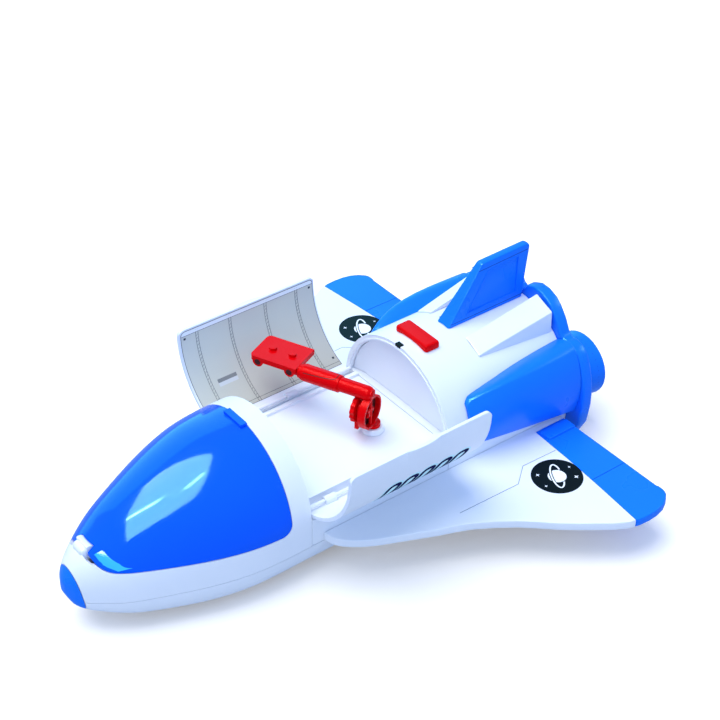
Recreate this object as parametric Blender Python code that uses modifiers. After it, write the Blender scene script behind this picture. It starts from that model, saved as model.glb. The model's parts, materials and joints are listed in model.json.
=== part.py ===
"""Toy space shuttle that opens: canopy, cargo bay doors, crane arm and wheels.

Metres, +Z up, nose toward -Y, port side toward +X. The origin is on the floor,
under the middle of the model's length. Lengths in the tables are millimetres.
"""
from math import acos, atan2, cos, pi, radians, sin

import bmesh
import bpy
from mathutils import Matrix, Vector

MM = 0.001
GAP = 0.3 * MM
FAR = 400 * MM
COLLECTION = "toy_space_shuttle"

# Fuselage, a round back on a flat belly
BODY_RADIUS = 47.2 * MM
BODY_AXIS_Z = 39.2 * MM
# The sections of hull, fin, pods and tail are drawn for a body of this radius
DRAWN_RADIUS = 47.2 * MM
SEAM_Z = 22.4 * MM
HULL_SIDES = 44
BELLY_POWER = 4.6
# Nose sections: y, half width, height of the widest point, crown height, belly height
NOSE_SECTIONS = (
    (-171.6, 1.8, 29.0, 32.0, 26.2),
    (-169.4, 6.6, 29.0, 38.0, 20.2),
    (-166.8, 9.8, 29.0, 42.6, 17.0),
    (-161.2, 15.0, 29.2, 48.4, 14.0),
    (-149.2, 23.6, 29.6, 56.2, 10.4),
    (-136.4, 29.6, 30.2, 64.6, 7.4),
    (-109.2, 39.8, 32.4, 77.0, 4.4),
    (-86.0, 45.6, 35.0, 84.4, 3.4),
    (-66.0, 47.2, 38.0, 86.4, 3.2),
    (-47.8, 47.2, 39.2, 86.4, 3.2),
)
SECTION_STEPS = 3

# Stations along the fuselage
FRONT_ARCH_Y = -47.8 * MM
REAR_BODY_Y = 46.6 * MM
TAIL_RING_Y = 136.4 * MM
TAIL_END_Y = 144.6 * MM
NOZZLE_END_Y = 171.6 * MM

# Nose cap: its edge leans forward toward the top
CAP_EDGE_Y = -165.4 * MM
CAP_EDGE_LEAN = radians(8)

# Canopy and the cockpit under it
SHELL_WALL = 2.2 * MM
CANOPY_FRONT = (-158.4 * MM, 41.0 * MM)
CANOPY_REAR = (-59.8 * MM, 38.4 * MM)
CANOPY_FRONT_CORNER = (9.0 * MM, 7.0 * MM)
CANOPY_REAR_CORNER = (7.0 * MM, 7.0 * MM)
CORNER_STEPS = 6
CANOPY_GAP = 0.45 * MM
CANOPY_HINGE = (-157.0 * MM, 48.0 * MM)
HINGE_BLOCK_HALF = 5.2 * MM
HINGE_BARREL_RADIUS = 4.4 * MM
HINGE_STEPS = 14
HINGE_LAST_ANGLE = radians(-50)
HINGE_RELIEF_RADIUS = 3.6 * MM
HINGE_RELIEF_HALF = 12.0 * MM
CLASP_HALF = 8.0 * MM
CLASP_LENGTH = 4.6 * MM
CLASP_RISE = 1.5 * MM
COCKPIT_WALL_Y = -57.6 * MM
# Seat: y of its front, of the back rest's face and of its rear; heights over the floor
SEAT_Y = (-104.0 * MM, -80.0 * MM, -74.0 * MM)
SEAT_HALF = 17.0 * MM
SEAT_HEIGHT = 9.0 * MM
SEAT_BACK_HEIGHT = 36.0 * MM
SEAT_HOLLOW_RADIUS = 13.6 * MM
# Console in side view: y and height over the floor
CONSOLE_OUTLINE = ((-132.0, 0.0), (-116.0, 0.0), (-120.0, 15.0), (-128.0, 18.0))
CONSOLE_HALF = 13.6 * MM
COCKPIT_ROUND = 0.8 * MM

# Cargo bay
DECK_Z = 44.8 * MM
SILL_Z = 46.6 * MM
SILL_HALF_OUT = BODY_RADIUS - 10.2 * MM
SILL_WIDTH = 2.6 * MM
BULKHEAD_RECESS = 7.0 * MM
BULKHEAD_RADIUS = BODY_RADIUS - 3.8 * MM
BULKHEAD_WALL = 1.8 * MM
FRONT_RECESS = 8.0 * MM
DISH_RIM = 2.6 * MM
DISH_LIP = 1.4 * MM
DISH_WIDTH = 8.0 * MM
LATCH_SLOT_Y = 47.8 * MM
LATCH_SLOT_SIZE = (4.4 * MM, 1.5 * MM, 1.4 * MM)

# Bay doors, drawn closed and then swung open about the hinge pins
DOOR_HINGE_X = BODY_RADIUS - 4.8 * MM
DOOR_HINGE_Z = 45.6 * MM
DOOR_WALL = 2.0 * MM
DOOR_LOW_ANGLE = 8.3
DOOR_TOP_ANGLE = 89.5
DOOR_OPEN = radians(85.3)
DOOR_END_GAP = 0.7 * MM
DOOR_CORNER = 3.6 * MM
DOOR_CORNER_STEPS = 4
DOOR_STEPS = (12, 8)
DOOR_GROOVE = 5.4 * MM
HINGE_PIN_RADIUS = 1.0 * MM
HINGE_PIN_CLEARANCE = 0.3 * MM
KNUCKLE_RADIUS = 2.1 * MM
KNUCKLE_LENGTH = 7.0 * MM
LUG_HEIGHTS = (0.3 * MM, 1.9 * MM)
KNUCKLE_Y = (-36.0 * MM, 0.0, 34.0 * MM)

# Wings: leading edge from the root to the tip, x and y
WING_TOP_Z = 28.4 * MM
WING_THICKNESS = 5.4 * MM
WING_EDGE_ROUND = 1.6 * MM
WING_OUTLINE = (
    (44.0, -40.4), (51.6, -39.0), (57.4, -35.8), (64.0, -27.8), (69.0, -19.0),
    (73.4, -9.0), (82.2, 11.0), (89.2, 28.4), (102.8, 49.2), (117.2, 65.2),
    (130.2, 82.0), (139.4, 96.4), (141.6, 109.6), (140.0, 121.2), (134.4, 129.2),
    (126.8, 132.0),
)
WING_TRAIL_Y = 129.8 * MM
WING_ROOT_X = 40.0 * MM
# Front line of the elevon strip, x and y
ELEVON_LINE = ((52.0, 107.8), (82.0, 106.0), (108.8, 103.6), (150.0, 99.2))
ELEVON_BLOCK_X = (54.6 * MM, 62.4 * MM)
ELEVON_BLOCK_HEIGHT = 1.6 * MM
BLOCK_ROUND = 0.5 * MM

# Fin: y and z of its outline, and its half thickness
FIN_OUTLINE = ((77.4, 84.6), (104.2, 118.6), (138.6, 119.2), (140.4, 117.6), (133.6, 84.6))
FIN_HALF_BASE = 5.4 * MM
FIN_HALF_TOP = 2.4 * MM
FIN_PANEL = ((93.0, 91.5), (108.5, 112.0), (131.0, 113.4), (128.5, 91.5))
FIN_PANEL_DEPTH = 0.5 * MM
FIN_ROUND = 1.2 * MM

# Pods beside the fin: x and z of the corners, inner low, inner top, outer top, outer low
POD_ROUND = 0.8 * MM
POD_ROUND_ANGLE = radians(25)
POD_FRONT_Y = 83.0 * MM
POD_REAR_Y = 134.8 * MM
POD_FRONT = ((15.2, 80.0), (15.2, 84.9), (27.2, 79.0), (27.2, 74.0))
POD_REAR = ((16.2, 80.0), (16.5, 94.1), (30.1, 88.7), (30.8, 73.6))

# Blue side panels: y, angles of the low edge, the shoulder and the high edge,
# and how far the low edge and the shoulder stand over the body
SIDE_PANEL_SECTIONS = (
    (61.6, 1.0, 28.5, 31.0, 1.2, 2.2),
    (64.4, 0.0, 31.5, 34.6, 1.8, 4.0),
    (72.0, -1.4, 32.5, 36.2, 2.2, 7.6),
    (84.0, -3.4, 33.0, 38.0, 2.6, 11.0),
    (100.0, -5.6, 33.0, 40.6, 3.4, 12.8),
    (118.0, -7.2, 33.0, 42.4, 4.8, 12.8),
    (136.1, -8.0, 33.0, 43.5, 6.6, 12.2),
)
PANEL_SIDE_STEPS = 8
PANEL_TOP_STEPS = 5
PANEL_TOP_CURVE = 0.6
# The hidden inner radius of the panels, as a share of the body's
PANEL_ROOT = 0.8

# Tail: half outline of the ring from the crown to the belly, x and z
TAIL_OUTLINE = (
    (0.0, 87.2), (2.6, 88.6), (5.4, 92.7), (11.2, 95.2), (17.6, 94.9), (24.1, 92.2), (28.3, 88.3),
    (32.8, 82.4), (36.1, 75.9), (38.8, 73.0), (43.6, 73.4), (48.4, 71.8), (52.4, 67.4),
    (55.4, 60.8), (57.6, 53.4), (58.8, 45.8), (58.8, 35.0), (57.0, 22.4), (51.2, 11.0),
    (41.2, 4.5), (26.0, 2.8),
)
TAIL_EDGE_ROUND = 2.0 * MM
TAIL_RECESS = 5.0 * MM
TAIL_HOLLOW_SHARE = 0.90
TAIL_PLATE_SHARE = 0.89
TAIL_PLATE_THICK = 1.6 * MM
NOZZLE_X = 22.4 * MM
NOZZLE_Z = 32.8 * MM
NOZZLE_RIM_RADIUS = 20.0 * MM
# Nozzle from its rim to its root: how much narrower than the rim, and the share of its length
NOZZLE_FLARE = ((0.0, 1.0), (0.9, 0.76), (2.6, 0.46), (5.6, 0.0))
NOZZLE_WALL = 1.8 * MM
NOZZLE_FLOOR = 2.0 * MM
LAMP_RADIUS = 9.0 * MM
LAMP_BULGE = 0.55
LAMP_STEPS = 5

# Sound button on the back
BUTTON_HALF_X = 13.6 * MM
BUTTON_Y = (55.4 * MM, 65.8 * MM)
BUTTON_RISE = 2.6 * MM
BUTTON_DEPTH = 6.0 * MM
BUTTON_ROUND = 1.6 * MM

# Crane arm: a turret on the deck, a drum whose axis lies along the boom, and the foot plate
ARM_POST = (9.6 * MM, 22.0 * MM, 0)
ARM_YAW = radians(65.8)
POST_RADIUS = 4.4 * MM
BOSS_RADII = (6.8 * MM, 5.6 * MM)
BOSS_HEIGHT = 3.0 * MM
DRUM_CENTRE = (9.4 * MM, 16.2 * MM, 61.4 * MM)
DRUM_HALF = 5.2 * MM
CUP_RADIUS = 10.2 * MM
CUP_WALL = 1.3 * MM
CUP_DEPTH = 3.0 * MM
CUP_BAR_RADIUS = 1.0 * MM
STEP_BACK = 0.25 * MM
DISC_RADIUS = 8.5 * MM
DISC_WIDTH = 2.6 * MM
DISC_TEETH = 14
TOOTH_DEPTH = 0.7 * MM
CORE_RADIUS = 5.0 * MM
PIN_RADIUS = 1.5 * MM
WEB_HALF = 2.7 * MM
WEB_HEIGHT = 2.2 * MM
BOOM_RISE = 12.0 * MM
BOOM_RADIUS = 3.1 * MM
BOOM_REACH = 41.0 * MM
SLEEVE_RADIUS = 4.1 * MM
SLEEVE_START = 15.0 * MM
WRIST_GAP = 0.6 * MM
WRIST_RADIUS = 3.2 * MM
PLATE_X = (-4.5 * MM, 17.1 * MM)
PLATE_LENGTH = 29.5 * MM
PLATE_THICK = 3.2 * MM
PLATE_RISE = 3.4 * MM
PLATE_CORNER = 2.6 * MM
PLATE_CORNER_STEPS = 4
RIB_RADIUS = 3.2 * MM
RIB_PLACES = (4.2 * MM, 24.4 * MM)
PEG_RADIUS = 2.2 * MM
PEG_HEIGHT = 1.6 * MM
PEG_PLACES = (8.0 * MM, 20.6 * MM)

# Wheels in wells in the belly
WHEEL_RADIUS = 6.4 * MM
WHEEL_ROUND = 1.2 * MM
WHEEL_WAIST = 2.6 * MM
AXLE_RADIUS = 1.1 * MM
AXLE_CLEARANCE = 0.3 * MM
WELL_CLEARANCE = 1.6 * MM
# Axle places: name, x, y, wheel width, distance between twin wheels (0 for one)
WHEELS = (
    ("nose_wheels", 0.0, -104.0, 4.6, 9.0),
    ("port_main_wheel", 27.0, 82.0, 6.4, 0.0),
    ("starboard_main_wheel", -27.0, 82.0, 6.4, 0.0),
)

WHITE = ("white_plastic", (0.90, 0.92, 0.97), 0.30)
BLUE = ("blue_plastic", (0.02, 0.20, 0.95), 0.28)
RED = ("red_plastic", (0.90, 0.01, 0.03), 0.32)
CLEAR_BLUE = ("canopy_plastic", (0.01, 0.12, 0.90), 0.12)
GREY = ("grey_plastic", (0.45, 0.48, 0.52), 0.45)
STEEL = ("axle_steel", (0.60, 0.60, 0.62), 0.35)
DARK = ("dark_plastic", (0.03, 0.03, 0.035), 0.60)
LAMP = ("lamp_plastic", (0.95, 0.10, 0.02), 0.20)

for old in list(bpy.data.objects):
    bpy.data.objects.remove(old, do_unlink=True)
PARTS = bpy.data.collections.new(COLLECTION)
CUTTERS = bpy.data.collections.new("cutters")
for collection in (PARTS, CUTTERS):
    bpy.context.scene.collection.children.link(collection)


def make_material(name, finish):
    """A plain moulded finish of the node's own."""
    _, colour, roughness = finish
    material = bpy.data.materials.new(name + "_" + finish[0])
    material.use_nodes = True
    shader = material.node_tree.nodes["Principled BSDF"]
    shader.inputs["Base Color"].default_value = (*colour, 1.0)
    shader.inputs["Roughness"].default_value = roughness
    shader.inputs["Metallic"].default_value = 1.0 if finish is STEEL else 0.0
    material.diffuse_color = (*colour, 1.0)
    return material


def add_object(name, mesh, finish=None):
    """Link a mesh as a part with its own material, or as a cutter when it has no finish."""
    part = bpy.data.objects.new(name, mesh)
    if finish is None:
        CUTTERS.objects.link(part)
        part.hide_render = True
        part.display_type = "WIRE"
    else:
        PARTS.objects.link(part)
        mesh.materials.clear()
        mesh.materials.append(make_material(name, finish))
        mesh.shade_smooth()
        mesh.set_sharp_from_angle(angle=radians(32))
    return part


def mesh_from(work, name):
    """Turn a bmesh into a mesh with its faces pointing out."""
    bmesh.ops.recalc_face_normals(work, faces=work.faces)
    mesh = bpy.data.meshes.new(name)
    work.to_mesh(mesh)
    work.free()
    return mesh


def loft(name, rings, finish=None):
    """A closed body through rings of points, with flat ends."""
    work = bmesh.new()
    rows = [[work.verts.new(point) for point in ring] for ring in rings]
    count = len(rows[0])
    for low, high in zip(rows, rows[1:]):
        for i in range(count):
            j = (i + 1) % count
            work.faces.new((low[i], low[j], high[j], high[i]))
    work.faces.new(rows[0])
    work.faces.new(rows[-1])
    return add_object(name, mesh_from(work, name), finish)


def box(name, low, high, finish=None, rounding=0.0):
    """A box between two corners."""
    work = bmesh.new()
    bmesh.ops.create_cube(work, size=1.0)
    size = Vector(high) - Vector(low)
    bmesh.ops.scale(work, vec=size, verts=work.verts)
    bmesh.ops.translate(work, vec=(Vector(high) + Vector(low)) / 2, verts=work.verts)
    part = add_object(name, mesh_from(work, name), finish)
    if rounding:
        round_edges(part, rounding)
    return part


def cylinder(name, start, end, radius, finish=None, sides=28, end_radius=None):
    """A cylinder or cone frustum between two points."""
    work = bmesh.new()
    axis = Vector(end) - Vector(start)
    top = radius if end_radius is None else end_radius
    bmesh.ops.create_cone(work, cap_ends=True, segments=sides, radius1=radius,
                          radius2=top, depth=axis.length)
    turn = axis.to_track_quat("Z", "Y").to_matrix().to_4x4()
    place = Matrix.Translation((Vector(start) + Vector(end)) / 2) @ turn
    bmesh.ops.transform(work, matrix=place, verts=work.verts)
    return add_object(name, mesh_from(work, name), finish)


def prism(name, outline, low, high, finish=None, axis="Z"):
    """A flat outline, pushed from low to high along an axis."""
    spread = {"Z": lambda u, v, w: (u, v, w), "X": lambda u, v, w: (w, u, v)}[axis]
    rings = [[spread(u, v, level) for u, v in outline] for level in (low, high)]
    return loft(name, rings, finish)


def turned(name, profile, place, finish=None, steps=32):
    """A solid of revolution: radius and height, its outer side listed from top to bottom."""
    mesh = bpy.data.meshes.new(name)
    edges = [(i, i + 1) for i in range(len(profile) - 1)]
    if profile[0][0] > 0:
        edges.append((len(profile) - 1, 0))
    mesh.from_pydata([(radius, 0.0, height) for radius, height in profile], edges, [])
    part = add_object(name, mesh, finish)
    screw = part.modifiers.new("turn", "SCREW")
    screw.steps = screw.render_steps = steps
    screw.use_merge_vertices = True
    screw.merge_threshold = 0.01 * MM
    part.matrix_world = place
    return part


def set_cutter(part):
    """Move a solid to the cutters."""
    if part.name in PARTS.objects:
        PARTS.objects.unlink(part)
        CUTTERS.objects.link(part)
    part.hide_render = True
    part.display_type = "WIRE"


def boolean(part, other, operation):
    """Cut, join or intersect, kept as a modifier."""
    set_cutter(other)
    cut = part.modifiers.new(other.name, "BOOLEAN")
    cut.operation = operation
    cut.solver = "EXACT"
    cut.object = other
    return part


def subtract(part, *cutters):
    """Cut every cutter out of the part."""
    for cutter in cutters:
        boolean(part, cutter, "DIFFERENCE")
    return part


def join(part, *others):
    """Fuse the others into the part."""
    for other in others:
        boolean(part, other, "UNION")
    return part


def keep_inside(part, space):
    """Keep what lies inside the space."""
    return boolean(part, space, "INTERSECT")


def round_edges(part, width, segments=2, angle=radians(40)):
    """A small radius on the sharp edges."""
    bevel = part.modifiers.new("round", "BEVEL")
    bevel.width = width
    bevel.segments = segments
    bevel.limit_method = "ANGLE"
    bevel.angle_limit = angle
    return part


def smooth_path(rows, steps):
    """Extra rows between the given ones, along a curve through all of them."""
    path = []
    for i in range(len(rows) - 1):
        before = rows[max(i - 1, 0)]
        after = rows[min(i + 2, len(rows) - 1)]
        for step in range(steps):
            t = step / steps
            path.append(tuple(
                0.5 * (2 * b + (c - a) * t + (2 * a - 5 * b + 4 * c - d) * t * t
                       + (3 * b - a - 3 * c + d) * t ** 3)
                for a, b, c, d in zip(before, rows[i], rows[i + 1], after)))
    path.append(rows[-1])
    return path


def power(value, exponent):
    """A signed power, for squarish curves."""
    return abs(value) ** exponent * (1 if value >= 0 else -1)


def fitted(x, z):
    """A point of a drawn section, in metres and at the body's own radius."""
    share = BODY_RADIUS / DRAWN_RADIUS
    return x * MM * share, BODY_AXIS_Z + (z * MM - BODY_AXIS_Z) * share


def hull_ring(row, grow):
    """One section of the fuselage: round above its widest point, squarer below."""
    y = row[0] * MM
    half_width, waist = fitted(row[1], row[2])
    crown, belly = (fitted(0, height)[1] for height in row[3:])
    ring = []
    for i in range(HULL_SIDES):
        angle = 2 * pi * i / HULL_SIDES
        c, s = cos(angle), sin(angle)
        if s >= 0:
            ring.append(((half_width + grow) * c, y, waist + (crown + grow - waist) * s))
        else:
            ring.append(((half_width + grow) * power(c, 2 / BELLY_POWER), y,
                         waist + (waist - belly + grow) * power(s, 2 / BELLY_POWER)))
    return ring


def fuselage(name, end_y, finish=None, grow=0.0, skip=0):
    """The outer form of the fuselage from the nose to a station."""
    rows = smooth_path(NOSE_SECTIONS[skip:], SECTION_STEPS)
    last = rows[-1]
    if end_y / MM > last[0] + 0.01:
        rows.append((end_y / MM, *last[1:]))
    return loft(name, [hull_ring(row, grow) for row in rows], finish)


def plain_hull(name, start_y, end_y, finish=None, grow=0.0):
    """The even stretch of the fuselage behind the nose."""
    last = NOSE_SECTIONS[-1][1:]
    return loft(name, [hull_ring((y / MM, *last), grow) for y in (start_y, end_y)], finish)


def around_y(x, y, z):
    """Place a turned shape so that its axis runs along +Y from a point."""
    return Matrix.Translation((x, y, z)) @ Matrix.Rotation(-pi / 2, 4, "X")


def around_x(x, y, z):
    """Place a turned shape so that its axis runs along +X from a point."""
    return Matrix.Translation((x, y, z)) @ Matrix.Rotation(pi / 2, 4, "Y")


def cap_side(name, ahead):
    """The space ahead of, or behind, the leaning edge of the nose cap."""
    near, far = (-FAR, -GAP / 2) if ahead else (GAP / 2, FAR)
    block = box(name, (-FAR, near, -FAR), (FAR, far, FAR))
    block.data.transform(Matrix.Translation((0, CAP_EDGE_Y, SEAM_Z))
                         @ Matrix.Rotation(CAP_EDGE_LEAN, 4, "X"))
    return block


def bulkhead_recess(name, y, depth):
    """The round recess above the deck that holds a bulkhead."""
    low, high = sorted((y - MM * (1 if depth > 0 else -1), y + depth))
    recess = cylinder(name, (0, low, BODY_AXIS_Z), (0, high, BODY_AXIS_Z), BULKHEAD_RADIUS, sides=48)
    return keep_inside(recess, box(name + "_reach", (-FAR, -FAR, DECK_Z), (FAR, FAR, FAR)))


def canopy_space(name, inset):
    """The canopy's region in side view, with rounded lower corners."""
    outline = [(CANOPY_FRONT[0] + inset, FAR)]
    for (y, z), (reach, rise), side in ((CANOPY_FRONT, CANOPY_FRONT_CORNER, 1),
                                        (CANOPY_REAR, CANOPY_REAR_CORNER, -1)):
        arc = []
        for step in range(CORNER_STEPS + 1):
            angle = pi / 2 * step / CORNER_STEPS
            arc.append((y + side * (reach - (reach - inset) * cos(angle)),
                        z + rise - (rise - inset) * sin(angle)))
        outline += arc[::side]
    outline.append((CANOPY_REAR[0] - inset, FAR))
    return prism(name, outline, -FAR, FAR, axis="X")


def hinge_rod(name, radius, half):
    """A cylinder about the canopy's hinge axis, for cutting."""
    return cylinder(name, (-half, *CANOPY_HINGE), (half, *CANOPY_HINGE), radius, sides=32)


def make_nose():
    """Nose cap, upper shell, canopy, its clasp and hinge block."""
    cap = fuselage("nose_cap", FRONT_ARCH_Y, BLUE)
    keep_inside(cap, cap_side("cap_space", True))

    inside = fuselage("cockpit_inside", FRONT_ARCH_Y, grow=-SHELL_WALL, skip=3)
    keep_inside(inside, box("cockpit_reach", (-FAR, CANOPY_FRONT[0], SEAM_Z - SHELL_WALL),
                            (FAR, COCKPIT_WALL_Y, FAR)))

    shell = fuselage("nose_upper_shell", FRONT_ARCH_Y, WHITE)
    keep_inside(shell, box("shell_reach", (-FAR, -FAR, SEAM_Z + GAP), (FAR, FAR, FAR)))
    keep_inside(shell, cap_side("shell_space", False))
    subtract(shell, inside, canopy_space("canopy_space", 0.0),
             hinge_rod("hinge_relief", HINGE_RELIEF_RADIUS, HINGE_RELIEF_HALF),
             bulkhead_recess("front_recess", FRONT_ARCH_Y, -FRONT_RECESS))

    canopy = fuselage("canopy", FRONT_ARCH_Y, CLEAR_BLUE)
    keep_inside(canopy, canopy_space("canopy_reach", CANOPY_GAP))
    half = HINGE_BLOCK_HALF + CANOPY_GAP
    subtract(canopy, inside, hinge_rod("hinge_notch", HINGE_BARREL_RADIUS + CANOPY_GAP, half),
             box("hinge_opening", (-half, -FAR, 0), (half, CANOPY_HINGE[0], FAR)))

    y, z = CANOPY_HINGE
    front = CANOPY_FRONT[0] + GAP
    first = acos((front - y) / HINGE_BARREL_RADIUS)
    outline = [(front, CANOPY_FRONT[1])]
    for step in range(HINGE_STEPS + 1):
        angle = first + (HINGE_LAST_ANGLE - first) * step / HINGE_STEPS
        outline.append((y + HINGE_BARREL_RADIUS * cos(angle), z + HINGE_BARREL_RADIUS * sin(angle)))
    outline.append((outline[-1][0], CANOPY_FRONT[1]))
    prism("canopy_hinge_block", outline, -HINGE_BLOCK_HALF, HINGE_BLOCK_HALF, WHITE, axis="X")

    crown = BODY_AXIS_Z + BODY_RADIUS
    clasp = box("canopy_clasp", (-CLASP_HALF, CANOPY_REAR[0] - CLASP_LENGTH, crown - CLASP_RISE),
                (CLASP_HALF, CANOPY_REAR[0] - CANOPY_GAP, crown + CLASP_RISE), CLEAR_BLUE)
    subtract(clasp, fuselage("clasp_seat", FRONT_ARCH_Y, grow=GAP))


def make_cockpit():
    """A moulded seat and an instrument console on the cockpit floor."""
    floor = SEAM_Z + GAP
    front, face, rear = SEAT_Y
    seat = box("cockpit_seat", (-SEAT_HALF, front, floor), (SEAT_HALF, rear, floor + SEAT_HEIGHT), GREY)
    back = box("seat_back", (-SEAT_HALF, face, floor + MM), (SEAT_HALF, rear, floor + SEAT_BACK_HEIGHT))
    middle = floor + SEAT_HEIGHT + SEAT_HOLLOW_RADIUS / 2
    hollow = cylinder("seat_hollow", (0, front - MM, middle), (0, face + MM, middle), SEAT_HOLLOW_RADIUS)
    subtract(join(seat, back), hollow)
    round_edges(seat, COCKPIT_ROUND)
    outline = [(y * MM, floor + rise * MM) for y, rise in CONSOLE_OUTLINE]
    console = prism("cockpit_console", outline, -CONSOLE_HALF, CONSOLE_HALF, GREY, axis="X")
    round_edges(console, COCKPIT_ROUND)


def wheel_places():
    """Name and centre of each axle, with the wheel's width and the spread of twins."""
    for name, x, y, width, spread in WHEELS:
        yield name, Vector((x * MM, y * MM, WHEEL_RADIUS)), width * MM, spread * MM


def make_lower_hull():
    """The belly shell, with a well over each axle."""
    hull = fuselage("lower_hull", TAIL_RING_Y - GAP, WHITE)
    keep_inside(hull, box("hull_reach", (-FAR, -FAR, 0), (FAR, FAR, SEAM_Z)))
    keep_inside(hull, cap_side("hull_space", False))
    for name, centre, width, spread in wheel_places():
        half = (width + spread) / 2 + WELL_CLEARANCE
        reach = WHEEL_RADIUS + WELL_CLEARANCE
        subtract(hull, cylinder(name + "_well", centre - Vector((half, 0, 0)),
                                centre + Vector((half, 0, 0)), reach, sides=24))


def make_wheels():
    """Wheels that spin on fixed steel axles."""
    bore, rim = AXLE_RADIUS + AXLE_CLEARANCE, WHEEL_RADIUS
    edge = rim - WHEEL_ROUND
    for name, centre, width, spread in wheel_places():
        half = (width + spread) / 2
        profile = [(bore, half), (edge, half), (rim, half - WHEEL_ROUND)]
        if spread:
            inner = (spread - width) / 2
            profile += [(rim, inner + WHEEL_ROUND), (edge, inner), (WHEEL_WAIST, inner),
                        (WHEEL_WAIST, -inner), (edge, -inner), (rim, -inner - WHEEL_ROUND)]
        profile += [(rim, -half + WHEEL_ROUND), (edge, -half), (bore, -half)]
        turned(name, profile, around_x(*centre), DARK)
        reach = Vector((half + WELL_CLEARANCE - GAP, 0, 0))
        cylinder(name + "_axle", centre - reach, centre + reach, AXLE_RADIUS, STEEL, sides=16)


def hinge_groove(side):
    """The round groove that leaves room for a door's lower edge."""
    x = side * DOOR_HINGE_X
    return cylinder("door_groove", (x, FRONT_ARCH_Y - GAP, DOOR_HINGE_Z),
                    (x, REAR_BODY_Y + GAP, DOOR_HINGE_Z), DOOR_GROOVE, sides=32)


def make_bay():
    """Cargo deck with its sills, the walls at both ends and the hinge pins."""
    start, end = FRONT_ARCH_Y + GAP, REAR_BODY_Y - GAP
    deck = plain_hull("cargo_deck", start, end, WHITE)
    keep_inside(deck, box("deck_reach", (-FAR, -FAR, SEAM_Z + GAP), (FAR, FAR, SILL_Z)))
    inner = SILL_HALF_OUT - SILL_WIDTH
    subtract(deck, box("deck_space", (-inner, -FAR, DECK_Z), (inner, FAR, FAR)))
    for side in (-1, 1):
        subtract(deck, hinge_groove(side))
        beyond = side * (DOOR_HINGE_X + FAR)
        x = sorted((side * DOOR_HINGE_X, beyond))
        subtract(deck, box("door_room", (x[0], -FAR, DOOR_HINGE_Z - DOOR_GROOVE), (x[1], FAR, FAR)))


def make_front_bulkhead():
    """The plain wall at the bay's front end, set into the arch."""
    start = FRONT_ARCH_Y - FRONT_RECESS + GAP
    wall = cylinder("front_bulkhead", (0, start, BODY_AXIS_Z), (0, start + BULKHEAD_WALL, BODY_AXIS_Z),
                    BULKHEAD_RADIUS - GAP, WHITE, sides=48)
    keep_inside(wall, box("wall_reach", (-FAR, -FAR, DECK_Z + GAP), (FAR, FAR, FAR)))


def door_rows():
    """Angles up a closed door and how far its ends stand back there, for its rounded corners."""
    low, top = radians(DOOR_LOW_ANGLE), radians(DOOR_TOP_ANGLE)
    reach = DOOR_CORNER / BODY_RADIUS
    rows = [(low + (top - reach - low) * i / DOOR_STEPS[0], 0.0) for i in range(DOOR_STEPS[0])]
    for step in range(DOOR_CORNER_STEPS + 1):
        turn = pi / 2 * step / DOOR_CORNER_STEPS
        rows.append((top - reach * (1 - sin(turn)), DOOR_CORNER * (1 - cos(turn))))
    return rows


def make_door(name, side):
    """A curved door with knuckles around its hinge pin, swung open about the pin."""
    rows, steps_along = door_rows(), DOOR_STEPS[1]
    steps_round = len(rows) - 1
    start, end = FRONT_ARCH_Y + DOOR_END_GAP, REAR_BODY_Y - DOOR_END_GAP
    work = bmesh.new()
    grid = {}
    for level, radius in enumerate((BODY_RADIUS, BODY_RADIUS - DOOR_WALL)):
        for i, (angle, inset) in enumerate(rows):
            for j in range(steps_along + 1):
                y = start + inset + (end - start - 2 * inset) * j / steps_along
                grid[level, i, j] = work.verts.new(
                    (side * radius * cos(angle), y, BODY_AXIS_Z + radius * sin(angle)))
    for level in (0, 1):
        for i in range(steps_round):
            for j in range(steps_along):
                work.faces.new([grid[level, i + a, j + b] for a, b in ((0, 0), (0, 1), (1, 1), (1, 0))])
    edge = [(i, 0) for i in range(steps_round)] + [(steps_round, j) for j in range(steps_along)]
    edge += [(steps_round - i, steps_along - j) for i, j in edge]
    for here, there in zip(edge, edge[1:] + edge[:1]):
        work.faces.new([grid[0, *here], grid[0, *there], grid[1, *there], grid[1, *here]])
    door = add_object(name, mesh_from(work, name), WHITE)

    pin = Vector((side * DOOR_HINGE_X, 0, DOOR_HINGE_Z))
    for i, y in enumerate(KNUCKLE_Y):
        low, high = pin + Vector((0, y, 0)), pin + Vector((0, y + KNUCKLE_LENGTH, 0))
        join(door, cylinder(f"{name}_knuckle_{i}", low, high, KNUCKLE_RADIUS, sides=20))
        x = sorted((pin.x, side * (BODY_RADIUS - DOOR_WALL / 2)))
        join(door, box(f"{name}_lug_{i}", (x[0], low.y, DOOR_HINGE_Z + LUG_HEIGHTS[0]),
                       (x[1], high.y, DOOR_HINGE_Z + LUG_HEIGHTS[1])))
    reach = Vector((0, FAR, 0))
    subtract(door, cylinder(name + "_bore", pin - reach, pin + reach,
                            HINGE_PIN_RADIUS + HINGE_PIN_CLEARANCE, sides=16))
    # The mesh is held about the pin, so that the object's own origin is the joint
    swing = Matrix.Rotation(side * DOOR_OPEN, 4, "Y")
    for member in [door] + [m.object for m in door.modifiers]:
        member.data.transform(Matrix.Translation(-pin))
        member.matrix_world = Matrix.Translation(pin) @ swing
    return door


def make_hinge_pins():
    """A pin along each sill, held by the two arches."""
    for name, side in (("port_hinge_pin", 1), ("starboard_hinge_pin", -1)):
        x = side * DOOR_HINGE_X
        cylinder(name, (x, FRONT_ARCH_Y + GAP, DOOR_HINGE_Z), (x, REAR_BODY_Y - GAP, DOOR_HINGE_Z),
                 HINGE_PIN_RADIUS, WHITE, sides=14)


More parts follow.
